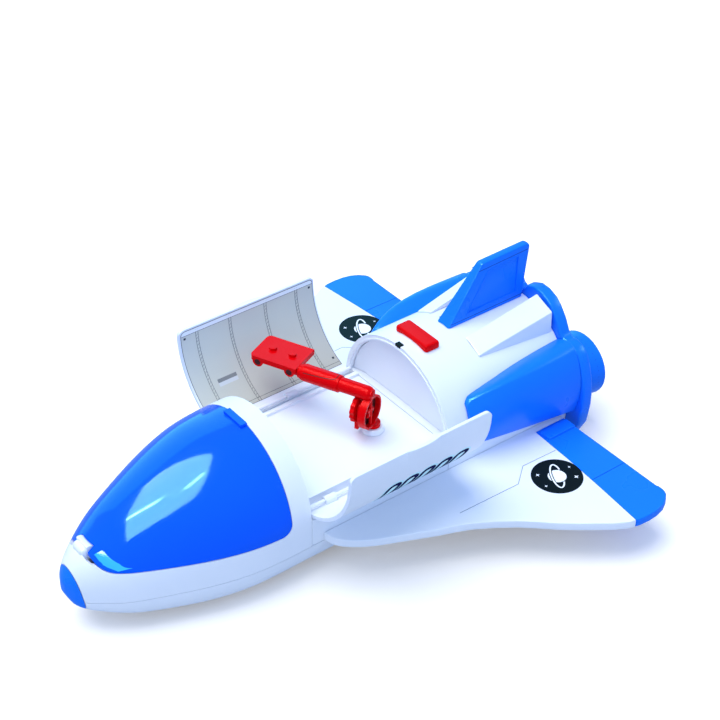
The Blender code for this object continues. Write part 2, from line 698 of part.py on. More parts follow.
def make_rear_body():
    """Rear body with a dished recess facing the bay, and the sound button on its back."""
    body = plain_hull("rear_body", REAR_BODY_Y, TAIL_RING_Y - GAP, WHITE)
    keep_inside(body, box("body_reach", (-FAR, -FAR, SEAM_Z + GAP), (FAR, FAR, FAR)))
    recess = bulkhead_recess("rear_recess", REAR_BODY_Y, BULKHEAD_RECESS)
    width, depth, height = LATCH_SLOT_SIZE
    crown = BODY_AXIS_Z + BODY_RADIUS
    slot = box("latch_slot", (-width / 2, LATCH_SLOT_Y, crown - height),
               (width / 2, LATCH_SLOT_Y + depth, crown + MM))
    subtract(body, recess, slot)

    button = box("sound_button", (-BUTTON_HALF_X, BUTTON_Y[0], crown - BUTTON_DEPTH),
                 (BUTTON_HALF_X, BUTTON_Y[1], crown + BUTTON_RISE), RED)
    round_edges(button, BUTTON_ROUND)
    subtract(button, plain_hull("button_seat", 0.0, TAIL_RING_Y, grow=GAP))


def make_rear_bulkhead():
    """A dished wall at the bay's rear end, with a raised rim."""
    outer, back = BULKHEAD_RADIUS - GAP, BULKHEAD_RECESS - GAP
    front = back - BULKHEAD_WALL
    profile = [(0, back), (outer, back), (outer, front - DISH_RIM), (outer - DISH_LIP, front - DISH_RIM),
               (outer - DISH_WIDTH, front - DISH_LIP / 2), (0, front)]
    dish = turned("rear_bulkhead", profile, around_y(0, REAR_BODY_Y, BODY_AXIS_Z), WHITE, steps=48)
    keep_inside(dish, box("dish_reach", (-FAR, -FAR, DECK_Z + GAP), (FAR, FAR, FAR)))


def make_wings():
    """Wings with a separate elevon strip along the trailing edge."""
    low, high = WING_TOP_Z - WING_THICKNESS, WING_TOP_Z
    for prefix, side in (("port", 1), ("starboard", -1)):
        edge = smooth_path([(side * x, y) for x, y in WING_OUTLINE], 2)
        outline = [(x * MM, y * MM) for x, y in edge]
        outline.append((outline[-1][0], WING_TRAIL_Y))
        outline += [(side * WING_ROOT_X, WING_TRAIL_Y), (side * WING_ROOT_X, outline[0][1])]
        line = [(side * x * MM, y * MM) for x, y in ELEVON_LINE]
        behind = line + [(side * FAR, TAIL_END_Y), (line[0][0], TAIL_END_Y)]
        ahead = [(x, y - GAP) for x, y in behind]
        beyond = [(x - side * GAP, y) for x, y in ahead]
        wing = prism(prefix + "_wing", outline, low, high, WHITE)
        round_edges(wing, WING_EDGE_ROUND)
        subtract(wing, plain_hull(prefix + "_root", FRONT_ARCH_Y, TAIL_RING_Y, grow=GAP),
                 prism(prefix + "_elevon_space", beyond, 0, FAR))
        elevon = prism(prefix + "_elevon", outline, low, high, BLUE)
        round_edges(elevon, WING_EDGE_ROUND)
        keep_inside(elevon, prism(prefix + "_elevon_reach", behind, 0, FAR))
        x = sorted(side * value for value in ELEVON_BLOCK_X)
        join(elevon, box(prefix + "_elevon_block", (x[0], ELEVON_LINE[0][1] * MM + MM, high - MM),
                         (x[1], WING_TRAIL_Y - MM, high + ELEVON_BLOCK_HEIGHT), rounding=BLOCK_ROUND))


def make_fin():
    """Swept fin, thinner toward its tip, with a sunk panel on each side."""
    base, top = FIN_OUTLINE[0][1], FIN_OUTLINE[2][1]

    def half(z, inset=0.0):
        share = (z - base) / (top - base)
        return FIN_HALF_BASE + (FIN_HALF_TOP - FIN_HALF_BASE) * share - inset

    rings = [[(side * half(z), y * MM, fitted(0, z)[1]) for y, z in FIN_OUTLINE] for side in (-1, 1)]
    fin = loft("fin", rings, BLUE)
    round_edges(fin, FIN_ROUND)
    for side in (-1, 1):
        panel = [(side * half(z, FIN_PANEL_DEPTH), y * MM, fitted(0, z)[1]) for y, z in FIN_PANEL]
        outer = [(side * (half(z) + MM), y * MM, fitted(0, z)[1]) for y, z in FIN_PANEL]
        subtract(fin, loft(f"fin_panel_{side}", [panel, outer]))
    subtract(fin, plain_hull("fin_seat", 0.0, TAIL_END_Y, grow=GAP))


def make_pods():
    """Two wedge shaped pods that rise from the back beside the fin."""
    for name, side in (("port_pod", 1), ("starboard_pod", -1)):
        rings = []
        for y, corners in ((POD_FRONT_Y, POD_FRONT), (POD_REAR_Y, POD_REAR)):
            rings.append([(side * x, y, z) for x, z in (fitted(*corner) for corner in corners)])
        pod = loft(name, rings, WHITE)
        round_edges(pod, POD_ROUND, angle=POD_ROUND_ANGLE)
        subtract(pod, plain_hull(name + "_seat", 0.0, TAIL_END_Y, grow=GAP))


def panel_curve(low, shoulder, high, low_stand, stand):
    """Angles around a side panel and how far it stands over the body at each."""
    for step in range(PANEL_SIDE_STEPS):
        share = step / PANEL_SIDE_STEPS
        yield low + (shoulder - low) * share, low_stand + (stand - low_stand) * sin(pi / 2 * share)
    for step in range(PANEL_TOP_STEPS + 1):
        share = step / PANEL_TOP_STEPS
        yield shoulder + (high - shoulder) * share, stand * max(0.0, cos(pi / 2 * share)) ** PANEL_TOP_CURVE


def make_side_panels():
    """Blue fairings over the sides of the rear body, with a shoulder that grows toward the tail."""
    rows = smooth_path(SIDE_PANEL_SECTIONS, 2)
    root = PANEL_ROOT * BODY_RADIUS
    for name, side in (("port_side_panel", 1), ("starboard_side_panel", -1)):
        rings = []
        for y, low, shoulder, high, low_stand, stand in rows:
            points = [(BODY_RADIUS + lift * MM, radians(angle))
                      for angle, lift in panel_curve(low, shoulder, high, low_stand, stand)]
            points += [(root, radians(high)), (root, radians(low))]
            rings.append([(side * radius * cos(angle), y * MM, BODY_AXIS_Z + radius * sin(angle))
                          for radius, angle in points])
        subtract(loft(name, rings, BLUE), plain_hull(name + "_seat", 0.0, TAIL_END_Y, grow=GAP))


def tail_loft(name, share, start, end, finish=None):
    """The tail's outline at a share of its size, from start to end along Y."""
    points = [fitted(*point) for point in TAIL_OUTLINE]
    half = [(x * share, BODY_AXIS_Z + (z - BODY_AXIS_Z) * share) for x, z in points]
    outline = half[::-1] + [(-x, z) for x, z in half[1:]]
    return loft(name, [[(x, y, z) for x, z in outline] for y in (start, end)], finish)


def make_tail():
    """Tail ring with a recessed plate, two nozzles and their lamps."""
    ring = tail_loft("tail_ring", 1.0, TAIL_RING_Y, TAIL_END_Y, BLUE)
    round_edges(ring, TAIL_EDGE_ROUND, angle=radians(50))
    floor = TAIL_END_Y - TAIL_RECESS
    subtract(ring, tail_loft("tail_hollow", TAIL_HOLLOW_SHARE, floor, TAIL_END_Y + MM))
    plate_end = floor + GAP + TAIL_PLATE_THICK
    tail_loft("tail_plate", TAIL_PLATE_SHARE, floor + GAP, plate_end, WHITE)

    root = plate_end + GAP
    length = NOZZLE_END_Y - root
    outer = [(NOZZLE_RIM_RADIUS - drop * MM, share * length) for drop, share in NOZZLE_FLARE]
    inner = [(radius - NOZZLE_WALL, height) for radius, height in reversed(outer)]
    inner[0] = (inner[0][0], NOZZLE_FLOOR)
    profile = [(0, NOZZLE_FLOOR)] + inner + outer + [(0, 0)]
    rise = LAMP_RADIUS * LAMP_BULGE
    seat = NOZZLE_FLOOR + GAP
    angles = [pi / 2 * step / LAMP_STEPS for step in range(LAMP_STEPS + 1)]
    dome = [(LAMP_RADIUS * sin(angle), seat + rise * cos(angle)) for angle in angles] + [(0, seat)]
    for prefix, side in (("port", 1), ("starboard", -1)):
        place = around_y(side * NOZZLE_X, root, NOZZLE_Z)
        turned(prefix + "_nozzle", profile, place, BLUE)
        turned(prefix + "_engine_lamp", dome, place, LAMP)


def toothed_disc(name, frame, low, high, finish=None):
    """A short cylinder along Y of a frame, with shallow scallops around its rim."""
    disc = cylinder(name, (0, low, 0), (0, high, 0), DISC_RADIUS, finish, sides=4 * DISC_TEETH)
    for vertex in disc.data.vertices:
        angle = atan2(vertex.co.z, vertex.co.x)
        dip = TOOTH_DEPTH * (1 + cos(DISC_TEETH * angle)) / 2
        vertex.co.x -= dip * cos(angle)
        vertex.co.z -= dip * sin(angle)
    disc.data.transform(frame)
    return disc


def local_box(name, frame, low, high, finish=None, rounding=0.0):
    """A box between two corners of a turned frame."""
    part = box(name, low, high, finish, rounding)
    part.data.transform(frame)
    return part


def local_rod(name, frame, start, end, radius, finish=None, sides=24):
    """A cylinder between two points of a turned frame."""
    return cylinder(name, frame @ Vector(start), frame @ Vector(end), radius, finish, sides)


def make_arm():
    """Boss on the deck, turret with a toothed disc, boom with its cup and sleeve, and foot plate.

    The arm's frame stands at the drum's centre: +X across, +Y along the boom, +Z up.
    """
    arm = Matrix.Translation(DRUM_CENTRE) @ Matrix.Rotation(pi - ARM_YAW, 4, "Z")
    post, up = Vector(ARM_POST), Vector((0, 0, 1))
    seat = DECK_Z + BOSS_HEIGHT
    cylinder("arm_boss", post + up * (DECK_Z + GAP), post + up * seat, BOSS_RADII[0], WHITE,
             end_radius=BOSS_RADII[1])

    # The turret carries the disc on the boom's side and the pin through the boom's core
    disc_face, cup_back = DRUM_HALF - DISC_WIDTH, -DRUM_HALF + CUP_DEPTH
    turret = toothed_disc("arm_turret", arm, disc_face, DRUM_HALF, RED)
    foot = arm.inverted() @ (post + up * (seat + GAP))
    foot_top = foot.z + WEB_HEIGHT
    join(turret,
         local_rod("turret_pin", arm, (0, cup_back, 0), (0, disc_face + MM, 0), PIN_RADIUS, sides=16),
         local_rod("turret_post", arm, foot, (foot.x, foot.y, foot_top), POST_RADIUS),
         local_box("turret_web", arm, (0, foot.y, foot.z), (foot.x, disc_face + MM, foot_top)),
         local_box("turret_cheek", arm, (-WEB_HALF, disc_face, foot.z), (WEB_HALF, DRUM_HALF - MM / 2, 0)))

    boom = local_rod("arm_boom", arm, (0, -DRUM_HALF, 0), (0, cup_back + CUP_WALL, 0), CUP_RADIUS, RED,
                     sides=40)
    tip = BOOM_REACH - WRIST_GAP
    join(boom,
         local_rod("boom_core", arm, (0, cup_back + CUP_WALL / 2, 0), (0, disc_face - GAP, 0), CORE_RADIUS),
         local_rod("boom_rod", arm, (0, STEP_BACK - DRUM_HALF, BOOM_RISE), (0, tip - MM, BOOM_RISE),
                   BOOM_RADIUS),
         local_box("boom_web", arm, (-WEB_HALF, 2 * STEP_BACK - DRUM_HALF, CUP_RADIUS - 2 * MM),
                   (WEB_HALF, cup_back + CUP_WALL - STEP_BACK, BOOM_RISE)),
         local_rod("boom_sleeve", arm, (0, SLEEVE_START, BOOM_RISE), (0, tip, BOOM_RISE), SLEEVE_RADIUS))
    space = CUP_RADIUS - CUP_WALL
    subtract(boom,
             local_rod("cup_space", arm, (0, -DRUM_HALF - MM, 0), (0, cup_back, 0), space, sides=40),
             local_rod("pin_bore", arm, (0, -FAR, 0), (0, FAR, 0), PIN_RADIUS + GAP, sides=16))
    bar_y = -DRUM_HALF + 1.5 * CUP_BAR_RADIUS
    join(boom, local_rod("cup_bar", arm, (0, bar_y, -space - MM / 2), (0, bar_y, space + MM / 2),
                         CUP_BAR_RADIUS, sides=12))

    high = BOOM_RISE + PLATE_RISE
    low = high - PLATE_THICK
    left, right = PLATE_X
    far = BOOM_REACH + PLATE_LENGTH - PLATE_CORNER
    outline = [(left, BOOM_REACH), (right, BOOM_REACH)]
    for step in range(2 * PLATE_CORNER_STEPS + 2):
        side = step > PLATE_CORNER_STEPS
        angle = pi / 2 * (step - side) / PLATE_CORNER_STEPS
        middle = left + PLATE_CORNER if side else right - PLATE_CORNER
        outline.append((middle + PLATE_CORNER * cos(angle), far + PLATE_CORNER * sin(angle)))
    plate = prism("foot_plate", outline, low, high, RED)
    plate.data.transform(arm)
    join(plate, local_rod("plate_hub", arm, (0, tip + GAP, BOOM_RISE),
                          (0, BOOM_REACH + WRIST_RADIUS, BOOM_RISE), WRIST_RADIUS))
    middle = (left + right) / 2
    for i, (rib, peg) in enumerate(zip(RIB_PLACES, PEG_PLACES)):
        rib, peg = BOOM_REACH + rib, BOOM_REACH + peg
        under = local_rod(f"plate_rib_{i}", arm, (left, rib, low), (right, rib, low), RIB_RADIUS)
        keep_inside(under, local_box(f"rib_reach_{i}", arm, (-FAR, -FAR, -FAR), (FAR, FAR, high - MM)))
        join(plate, under, local_rod(f"foot_peg_{i}", arm, (middle, peg, low),
                                     (middle, peg, high + PEG_HEIGHT), PEG_RADIUS, sides=16))


make_nose()
make_cockpit()
make_lower_hull()
make_wheels()
make_bay()
make_door("port_door", 1)
make_door("starboard_door", -1)
make_hinge_pins()
make_rear_body()
make_front_bulkhead()
make_rear_bulkhead()
make_wings()
make_fin()
make_pods()
make_side_panels()
make_tail()
make_arm()
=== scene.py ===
"""Looks of the toy space shuttle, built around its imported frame.

Metres, in the CAD's own frame: nose toward -Y, port side toward +X, floor at z = 0.
Tables of points and profiles, and the lengths that go with them, are in millimetres.
"""
import json
from math import cos, pi, radians, sin

import bmesh
import bpy
from mathutils import Matrix, Vector

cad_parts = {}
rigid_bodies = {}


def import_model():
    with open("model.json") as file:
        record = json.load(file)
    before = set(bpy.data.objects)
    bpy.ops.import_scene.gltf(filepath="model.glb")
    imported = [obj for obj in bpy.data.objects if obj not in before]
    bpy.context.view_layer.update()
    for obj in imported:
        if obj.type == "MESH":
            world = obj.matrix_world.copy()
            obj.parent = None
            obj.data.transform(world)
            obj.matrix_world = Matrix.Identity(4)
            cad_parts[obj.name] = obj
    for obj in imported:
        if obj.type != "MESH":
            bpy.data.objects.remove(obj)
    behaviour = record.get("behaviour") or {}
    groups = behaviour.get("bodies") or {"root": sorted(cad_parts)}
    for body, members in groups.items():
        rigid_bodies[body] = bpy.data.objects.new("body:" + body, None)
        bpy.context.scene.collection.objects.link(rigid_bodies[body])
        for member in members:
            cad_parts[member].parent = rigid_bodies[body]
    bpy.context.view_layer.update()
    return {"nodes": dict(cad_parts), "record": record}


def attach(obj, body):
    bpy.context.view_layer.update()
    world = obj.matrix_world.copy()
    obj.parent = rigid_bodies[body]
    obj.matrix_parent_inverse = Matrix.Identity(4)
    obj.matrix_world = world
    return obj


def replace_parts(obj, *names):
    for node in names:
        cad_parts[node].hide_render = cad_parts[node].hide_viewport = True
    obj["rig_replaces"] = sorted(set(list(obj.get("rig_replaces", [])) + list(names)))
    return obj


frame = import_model()

MM = 0.001
SCENE = bpy.context.scene
SIDES = (("port", 1), ("starboard", -1))


def mm(*values):
    """Millimetres as metres."""
    return tuple(value * MM for value in values)


def mm_points(points, side=1):
    """A table of millimetres as metres, with side -1 for the far side."""
    return [mm(side * point[0], *point[1:]) for point in points]


# Camera at the photograph's viewing angle
CAMERA_TURN = radians(51.87)
CAMERA_RISE = radians(36.51)
CAMERA_ROLL = radians(0.71)
CAMERA_LENS = 87.28
CAMERA_SENSOR = 36
CAMERA_REACH = 20
CAMERA_TARGET = Vector((0.04239, -0.01321, 0.12782))
CAMERA_DISTANCE = 0.88514

# Fuselage, as in the CAD. A nose section is y, half width, waist, crown and belly
BODY_RADIUS, BODY_AXIS_Z = mm(47.2, 39.2)
BELLY_POWER = 4.6
BELLY_Z, TAIL_Y = mm(3.2, 141.5)
NOSE_SECTIONS = (
    (-171.6, 1.8, 29.0, 32.0, 26.2),
    (-169.4, 6.6, 29.0, 38.0, 20.2),
    (-166.8, 9.8, 29.0, 42.6, 17.0),
    (-161.2, 15.0, 29.2, 48.4, 14.0),
    (-149.2, 23.6, 29.6, 56.2, 10.4),
    (-136.4, 29.6, 30.2, 64.6, 7.4),
    (-109.2, 39.8, 32.4, 77.0, 4.4),
    (-86.0, 45.6, 35.0, 84.4, 3.4),
    (-66.0, 47.2, 38.0, 86.4, 3.2),
    (-47.8, 47.2, 39.2, 86.4, 3.2),
)
NOSE_STEPS = 8
SHELL_WALL = 2.2 * MM

# Canopy: its outline's ends and corners in side view, its gap, and its hinge
CANOPY_SECTIONS = NOSE_SECTIONS[3:]
CANOPY_FRONT = mm(-158.4, 41.0)
CANOPY_REAR = mm(-59.8, 38.4)
CANOPY_CORNERS = (mm(9.0, 7.0), mm(7.0, 7.0))
CANOPY_GAP, CANOPY_EDGE = mm(0.45, 0.3)
CANOPY_HINGE = mm(-157.0, 48.0)
HINGE_BARREL, HINGE_HALF = mm(4.4, 5.2)

# Reach of the canopy's cutters, well past the toy
CUTTER_HALF, CUTTER_FRONT, CUTTER_TOP = 0.1, -0.3, 0.2

# Doors, wings, arm and wheels, as in the CAD
DOOR_HINGE = Vector((42.4 * MM, 0, 45.6 * MM))
DOOR_OPEN = radians(85.3)
DOOR_WALL = 2.0 * MM
WING_TOP_Z = 28.4 * MM
DRUM_CENTRE = Vector((9.4, 16.2, 61.4)) * MM
ARM_YAW = radians(65.8)
BOOM_RISE = 12.0 * MM
WHEEL_Z = 6.4

# Wheels: middle's x and y, half width, body and the sides with a cap
WHEELS = (
    ("nose", 0, -104.0, 6.8, "nose_wheel_pair", (-1, 1)),
    ("port", 27.0, 82.0, 3.2, "port_wheel", (1,)),
    ("starboard", -27.0, 82.0, 3.2, "starboard_wheel", (-1,)),
)

# Print inside the starboard door: y along it, and the arc up from the body's waist on the closed door
FILM_Y = mm(-46.0, 45.0)
FILM_ARC = mm(13.5, 72.6)
FILM_CORNER = 2.8 * MM
FILM_LIFTS = mm(-0.04, 0.15, 0.20)
FILM_LINE = 0.22 * MM
FILM_RIBS = mm(-35.2, -13.0, 11.3, 33.0)
FILM_RIB_HALF = 0.8 * MM
FILM_RUNGS = 24
FILM_RUNG_HALF, FILM_RUNG_RISE, FILM_RUNG_LINE = mm(0.5, 1.1, 0.16)
FILM_HATCH_ENDS = mm(2.0, 6.0)
FILM_BORDER_INSET, FILM_BORDER_LINE = mm(0.2, 0.26)
FILM_CROSS_INSET = 0.4 * MM
FILM_CROSS_ENDS = mm(2.4, 3.2)
FILM_DOT_INSET, FILM_DOT_HALF = mm(2.6, 0.7)
FILM_DOT_ENDS = mm(6.0, 5.2)
FILM_BAND = ((3.0, 0.5), (1.6, 0.9), (0.4, 2.0))
FILM_MARK_Y = mm(-30.5, -17.8)
FILM_MARKS = (
    ("upper", (33.6, 35.9), (0.20, 0.22, 0.22)),
    ("lower", (31.2, 33.6), (0.62, 0.66, 0.66)),
)

# Frames on the port door, each with its arc, width and height, corner and lean
BAR_COUNT = 5
BAR_START, BAR_PITCH = mm(-16.4, 11.4)
BAR = mm(42.4, 7.4, 16.8, 3.0, 3.0)
BAR_MARGIN, BAR_LINE = mm(2.4, 2.8)
BAR_LIFTS = mm(-0.15, 0.05, 0.11)

# Thumb lips on the doors
LIP_HALF, LIP_ARC, LIP_REACH, LIP_RISE = mm(11, 66.0, 7.6, 6.5)
LIP_HEIGHT, LIP_FOOT, LIP_SINK = mm(1.5, 0.4, 0.1)
LIP_ROUND, LIP_SLOPE = 0.7, 1.3
LIP_ROWS, LIP_STEPS = 8, 10

# Discs, panel lines and elevons of the wings. A ring is its steps, start and end, a star its x, y and size
DISC_CENTRE = (88.0, 90.8)
DISC_LAYERS = mm(-0.04, 0.06, 0.11, 0.15, 0.19)
DISC_RADIUS, PLANET_RADIUS, RING_RADIUS = 14.6, 5.2, 9.8
RING_SQUASH = 0.32
RING_TILT = radians(-28)
RING_GAP = (40, radians(200), radians(340))
RING_SEEN = (72, radians(122), radians(418))
RING_GAP_LINE, RING_LINE = mm(1.9, 0.9)
STARS = ((6.8, 8.2, 1.6), (-7.2, -8.0, 1.4), (-1.8, 10.8, 1.0), (2.6, -10.6, 1.1))
STAR_WAIST = 0.34
WING_LINE = ((78.9, 28.0), (80.0, 69.2), (70.0, 81.6), (70.8, 105.6))
ELEVON_SEAM = ((102, 100), (102, 136))
GROOVE_DEPTH, WING_LINE_WIDTH, ELEVON_SEAM_WIDTH = mm(0.35, 0.4, 0.35)
TIP_TRIM = ((122, 129.8, 20), (146, 136, 34))

# Details of the arm. A profile is pairs of radius and height
ROD_PROFILE = (
    (0, 38.9), (4.0, 38.9), (4.7, 38.5), (5.0, 37.6), (5.0, 15.4), (4.8, 14.9),
    (4.2, 14.7), (4.2, -1.6), (4.0, -3.0), (3.4, -4.2), (2.3, -5.2), (0, -5.6),
)
SLEEVE_RADIUS = 5.0
TONGUE_START, TONGUE_REACH = 16.4, 20.0
TONGUE_POWER, TONGUE_STEPS = 5, 20
TONGUE_SKINS = mm(4.9, 5.08)
TONGUE_LINE = 0.4 * MM
# A dark disc of painted shade inside the drum
DRUM_SHADE_PROFILE = ((0, -2.0), (8.7, -2.0), (8.7, -2.3), (0, -2.3))
HUB_LAYERS = ((-2.1, 1.0), (-3.6, 1.0), (-4.2, 0.8))
HUB_RADIUS, HUB_LOBE, HUB_LOBES = 3.5, 0.9, 5
HUB_EDGE = 0.3 * MM
RIB_ROWS = (45.2, 65.4)
RIB_Z = 12.0
RIB_ENDS = (("left", -4.5, -1), ("right", 17.1, 1))
# Dark discs of painted shade in the plate's hollow ribs
HOLLOW_SHADE_PROFILE = ((0, 0.06), (1.9, 0.06), (1.9, -0.6), (0, -0.6))

# Saddle under the canopy's hinge, from the hinge: front and low, rear and high
SADDLE = ((-4.6, -9), (1, 3.6))
SADDLE_EDGE = 3.0 * MM

# Painted highlight: the canopy's paler cyan corner beside its hinge, where it catches the light; y, and
# degrees up from port
CANOPY_HIGHLIGHT_OUTLINE = ((-156.2, 62), (-152.6, 61), (-143.2, 27), (-149.8, 29.5), (-155.0, 43))
HIGHLIGHT_LIFTS = mm(-0.5, 0.3)

# A black block of painted shade in the latch slot, with heights from the body's crown
LATCH_SLOT_SHADE = ((-2.15, 46.2, -1.38), (2.15, 49.25, 0.4))
LATCH_EDGE = 0.3 * MM

# Printed lines: how far they reach into a face and over it, and their width
LINE_SINK, LINE_LIFT, THIN_LINE = mm(-0.3, 0.05, 0.45)

# Fin: its root and height, its half thickness and taper, and its lines from the side
FIN_ROOT_Z, FIN_HEIGHT = mm(84.6, 34.6)
FIN_HALF, FIN_TAPER = mm(5.4, 3.0)
FIN_LINES = (((80.6, 88.2), (134.6, 88.2)), ((101.4, 114.6), (138.4, 115.6)))
FIN_PANEL = ((92.4, 91.1), (108.2, 112.4), (131.4, 113.8), (128.9, 91.1))
FIN_BEAD_LIFT, FIN_BEAD_WIDTH = mm(0.28, 0.6)

# Rear bulkhead's bead
BEAD_STEPS = 60
BEAD_RADIUS, BEAD_LOW_Z = mm(44.6, 47.2)
BEAD_Y = mm(46.9, 46.0)
BEAD_WIDTH, BEAD_EDGE = mm(1.2, 0.35)

# Nozzles
NOZZLE_SEAT = (22.4, 141.8, 32.8)
VANES = 12
VANE_LOW = (10.9, -0.45, 2.2)
VANE_HIGH = (13.2, 0.45, 5.6)
VANE_EDGE = 0.15 * MM

# Screws, with the arm and half width of the cross, a dark cross of painted shade on the head
SCREW_WELL = ((0, 0.05), (2.2, 0.05), (2.2, -0.4), (0, -0.4))
SCREW_HEAD = ((0, 0.3), (1.21, 0.25), (1.584, 0), (0, 0))
SCREW_CROSS = mm(0.99, 0.22)
SCREW_CROSS_HEIGHTS = mm(0.1, 0.33)

# Tail plate. A bar is its middle's height or y, its width and height, and its corner
TAIL_SCREWS = ((40.0, 60.0), (-40.0, 60.0), (0.0, 13.0), (21.0, 79.0), (-21.0, 79.0))
HATCH = (64.0, 34.0, 14.0, 3.0)
VENT_XS = (-10, -5, 0, 5, 10)
VENT = (64.0, 1.8, 8.0, 0.85)

# Belly
BELLY_LIFTS = mm(0.5, -0.03)
BELLY_SCREWS = ((0, -5.0), (14.0, 60.0), (-14.0, 60.0), (15.0, -30.0), (-15.0, -30.0), (0, 118.0))
BATTERY_DOOR = (20.0, 36.0, 62.0, 4.0)
BATTERY_ARROW = ((-6, 44.0), (0, 46.6), (6, 44.0))
BATTERY_LINE, ARROW_LINE = mm(0.5, 0.6)
SPEAKER_SLOTS = ((-66.0, 12), (-62.4, 16), (-58.8, 20), (-55.2, 24), (-51.6, 20), (-48.0, 16), (-44.4, 12))
SLOT_SHAPE = (1.5, 0.7)

# Hub caps
CAP_PROFILE = ((2.0, -0.3), (2.0, 0.12), (3.2, 0.3), (4.0, 0.1), (4.0, -0.3))

# Cockpit: straps, pads, and the console's sloping face, which looks back at the seat
STRAP_XS = (-8.0, 8.0)
STRAP_HALF = 1.6
STRAP_Z = (33, 56)
STRAP_Y = mm(-81.2, -79.6)
PADS = (
    ("seat_headrest", ((-9, -80.9, 50.5), (9, -76, 57.4)), 1.4 * MM, 4),
    ("seat_pad", ((-11.5, -102.6, 31.0), (11.5, -83, 32.6)), 0.7 * MM, 3),
)
CONSOLE_BASE = (0, -116.0, 22.7)
CONSOLE_TOP = (0, -120.0, 37.7)
SCREEN = (10.6, 15.0, 6.0, 1.0)
SCREEN_LIFTS = mm(-0.3, 0.25)
SCREEN_LINE = (-6, 0.5)
SCREEN_LINES = ((9.0, 4), (10.6, 2), (12.2, 0))
GLOW_LIFTS = mm(0.2, 0.34)
KNOB_ROW = 4.6 * MM
KNOB_PROFILE = ((0, 1.3), (0.8, 1.3), (1.0, 1.0), (1.0, -0.2), (0, -0.2))

# Steps around a quarter turn, spacing of a bar's rows, and a limit on how far a stroke's corner reaches
QUARTER_STEPS = 6
ROW_PITCH = 1.2 * MM
MITRE_LIMIT = 0.3

# Base colours
WHITE = (0.83, 0.87, 0.93)
BLUE = (0.006, 0.182, 0.92)
DEEP_BLUE = (0.004, 0.105, 0.90)
RED = (0.74, 0.0008, 0.003)

# Gloss of the coloured plastics
CYAN_GLOSS = (0.32, 0.88, 1.0)
RED_GLOSS = (1.0, 0.22, 0.20)

# Unevenness of the plastics
TONE_SCALE, GLOSS_SCALE, GRAIN_SCALE = 28, 60, 1400
GLOSS_DRIFT = 0.03
GRAIN_DEPTH = 0.05 * MM
NOISE_DETAIL = 2

# Tones of the film inside the starboard door, front and rear, and where they fade: painted light, paler
# where the free edge is lit and greyer as painted shade toward the hinge and the rear
FILM_GREY = (0.42, 0.47, 0.50)
FILM_LIT_TONES = ((0.76, 0.78, 0.68), (0.72, 0.72, 0.62))
FILM_SHADED_TONES = ((0.50, 0.51, 0.44), (0.42, 0.41, 0.36))
FILM_SHADE_FADE_X = (-0.092, -0.045)
FILM_SHADE_FADE_Y = (-0.046, 0.046)

# Light of the studio: what the surfaces see, and the paper that the camera sees
SKY = (0.32, 0.50, 0.90)
PAPER = (0.98, 0.99, 1.0)
FLOOR = (0.95, 0.92, 0.88)
FLOOR_BOUNCE = (0.52, 0.52, 0.52)
FLOOR_GLOW = (0.20, 0.17, 0.12)
BLACK = (0.0, 0.0, 0.0)
PLAIN = (1.0, 1.0, 1.0)
FLOOR_HALF = 4.0
INDIRECT_LIMIT = 1.5

# Suns: power, spread in degrees, colour and the way to it
SUNS = (
    ("key", 2.3, 50, (1.0, 0.98, 0.88), (-0.20, -0.22, 1.0)),
    ("fill", 0.72, 110, (0.92, 1.0, 1.0), (0.75, -0.45, 0.45)),
)

# Corners of the lit pane
WINDOW = (
    (0.01, -0.75, 1.09), (0.60, -0.88, 0.80), (0.65, -0.66, 0.93), (0.64, -0.43, 1.05), (0.33, -0.26, 1.22),
    (-0.15, -0.03, 1.27), (-0.64, -0.34, 1.06), (-0.68, -0.45, 1.01), (-0.40, -0.58, 1.10),
)
WINDOW_POWER = 26.0

# Softboxes: place, aim, size, power, turn and colour
NOSE_AIM = (0, -0.11, 0.07)
REAR_AIM = (0, 0.1, 0.05)
SOFTBOXES = (
    ("streak_low", (0.025, -0.645, 1.125), NOSE_AIM, (0.24, 0.03), 5.0, radians(35), PLAIN),
    ("streak_high", (0.245, -0.345, 1.2), NOSE_AIM, (0.20, 0.03), 4.0, radians(70), PLAIN),
    ("left_wall", (-1.2, 0.1, 0.55), NOSE_AIM, (1.6, 1.3), 18, 0, (0.10, 0.72, 1.0)),
    ("rear_window", (0.5, 1.2, 0.8), REAR_AIM, (0.5, 0.35), 6, 0, PLAIN),
)


def link(name, data):
    """A new object in the scene."""
    thing = bpy.data.objects.new(name, data)
    SCENE.collection.objects.link(thing)
    return thing


def placed(spot, angle, axis):
    """A turn about one axis at a spot."""
    return Matrix.Translation(spot) @ Matrix.Rotation(angle, 4, axis)


def softbox(name, place, aim, size, power, turn, colour):
    """A rectangular light that is seen only in glossy surfaces."""
    data = bpy.data.lights.new(name, "AREA")
    data.color = colour
    data.shape = "RECTANGLE"
    data.size, data.size_y = size
    data.energy = power
    lamp = link(name, data)
    lamp.location = place
    aim = (Vector(aim) - Vector(place)).to_track_quat("-Z", "Y")
    lamp.rotation_euler = (aim.to_matrix() @ Matrix.Rotation(turn, 3, "Z")).to_euler()
    lamp.visible_diffuse = False


def make_camera():
    """The photograph's camera."""
    camera = link("camera", bpy.data.cameras.new("camera"))
    camera.data.lens = CAMERA_LENS
    camera.data.sensor_width = CAMERA_SENSOR
    camera.data.clip_end = CAMERA_REACH
    level_view = Matrix.Rotation(CAMERA_TURN, 4, "Z") @ Matrix.Rotation(pi / 2 - CAMERA_RISE, 4, "X")
    place = level_view @ Matrix.Rotation(CAMERA_ROLL, 4, "Z")
    place.translation = CAMERA_TARGET + place.col[2].xyz * CAMERA_DISTANCE
    camera.matrix_world = place
    SCENE.camera = camera


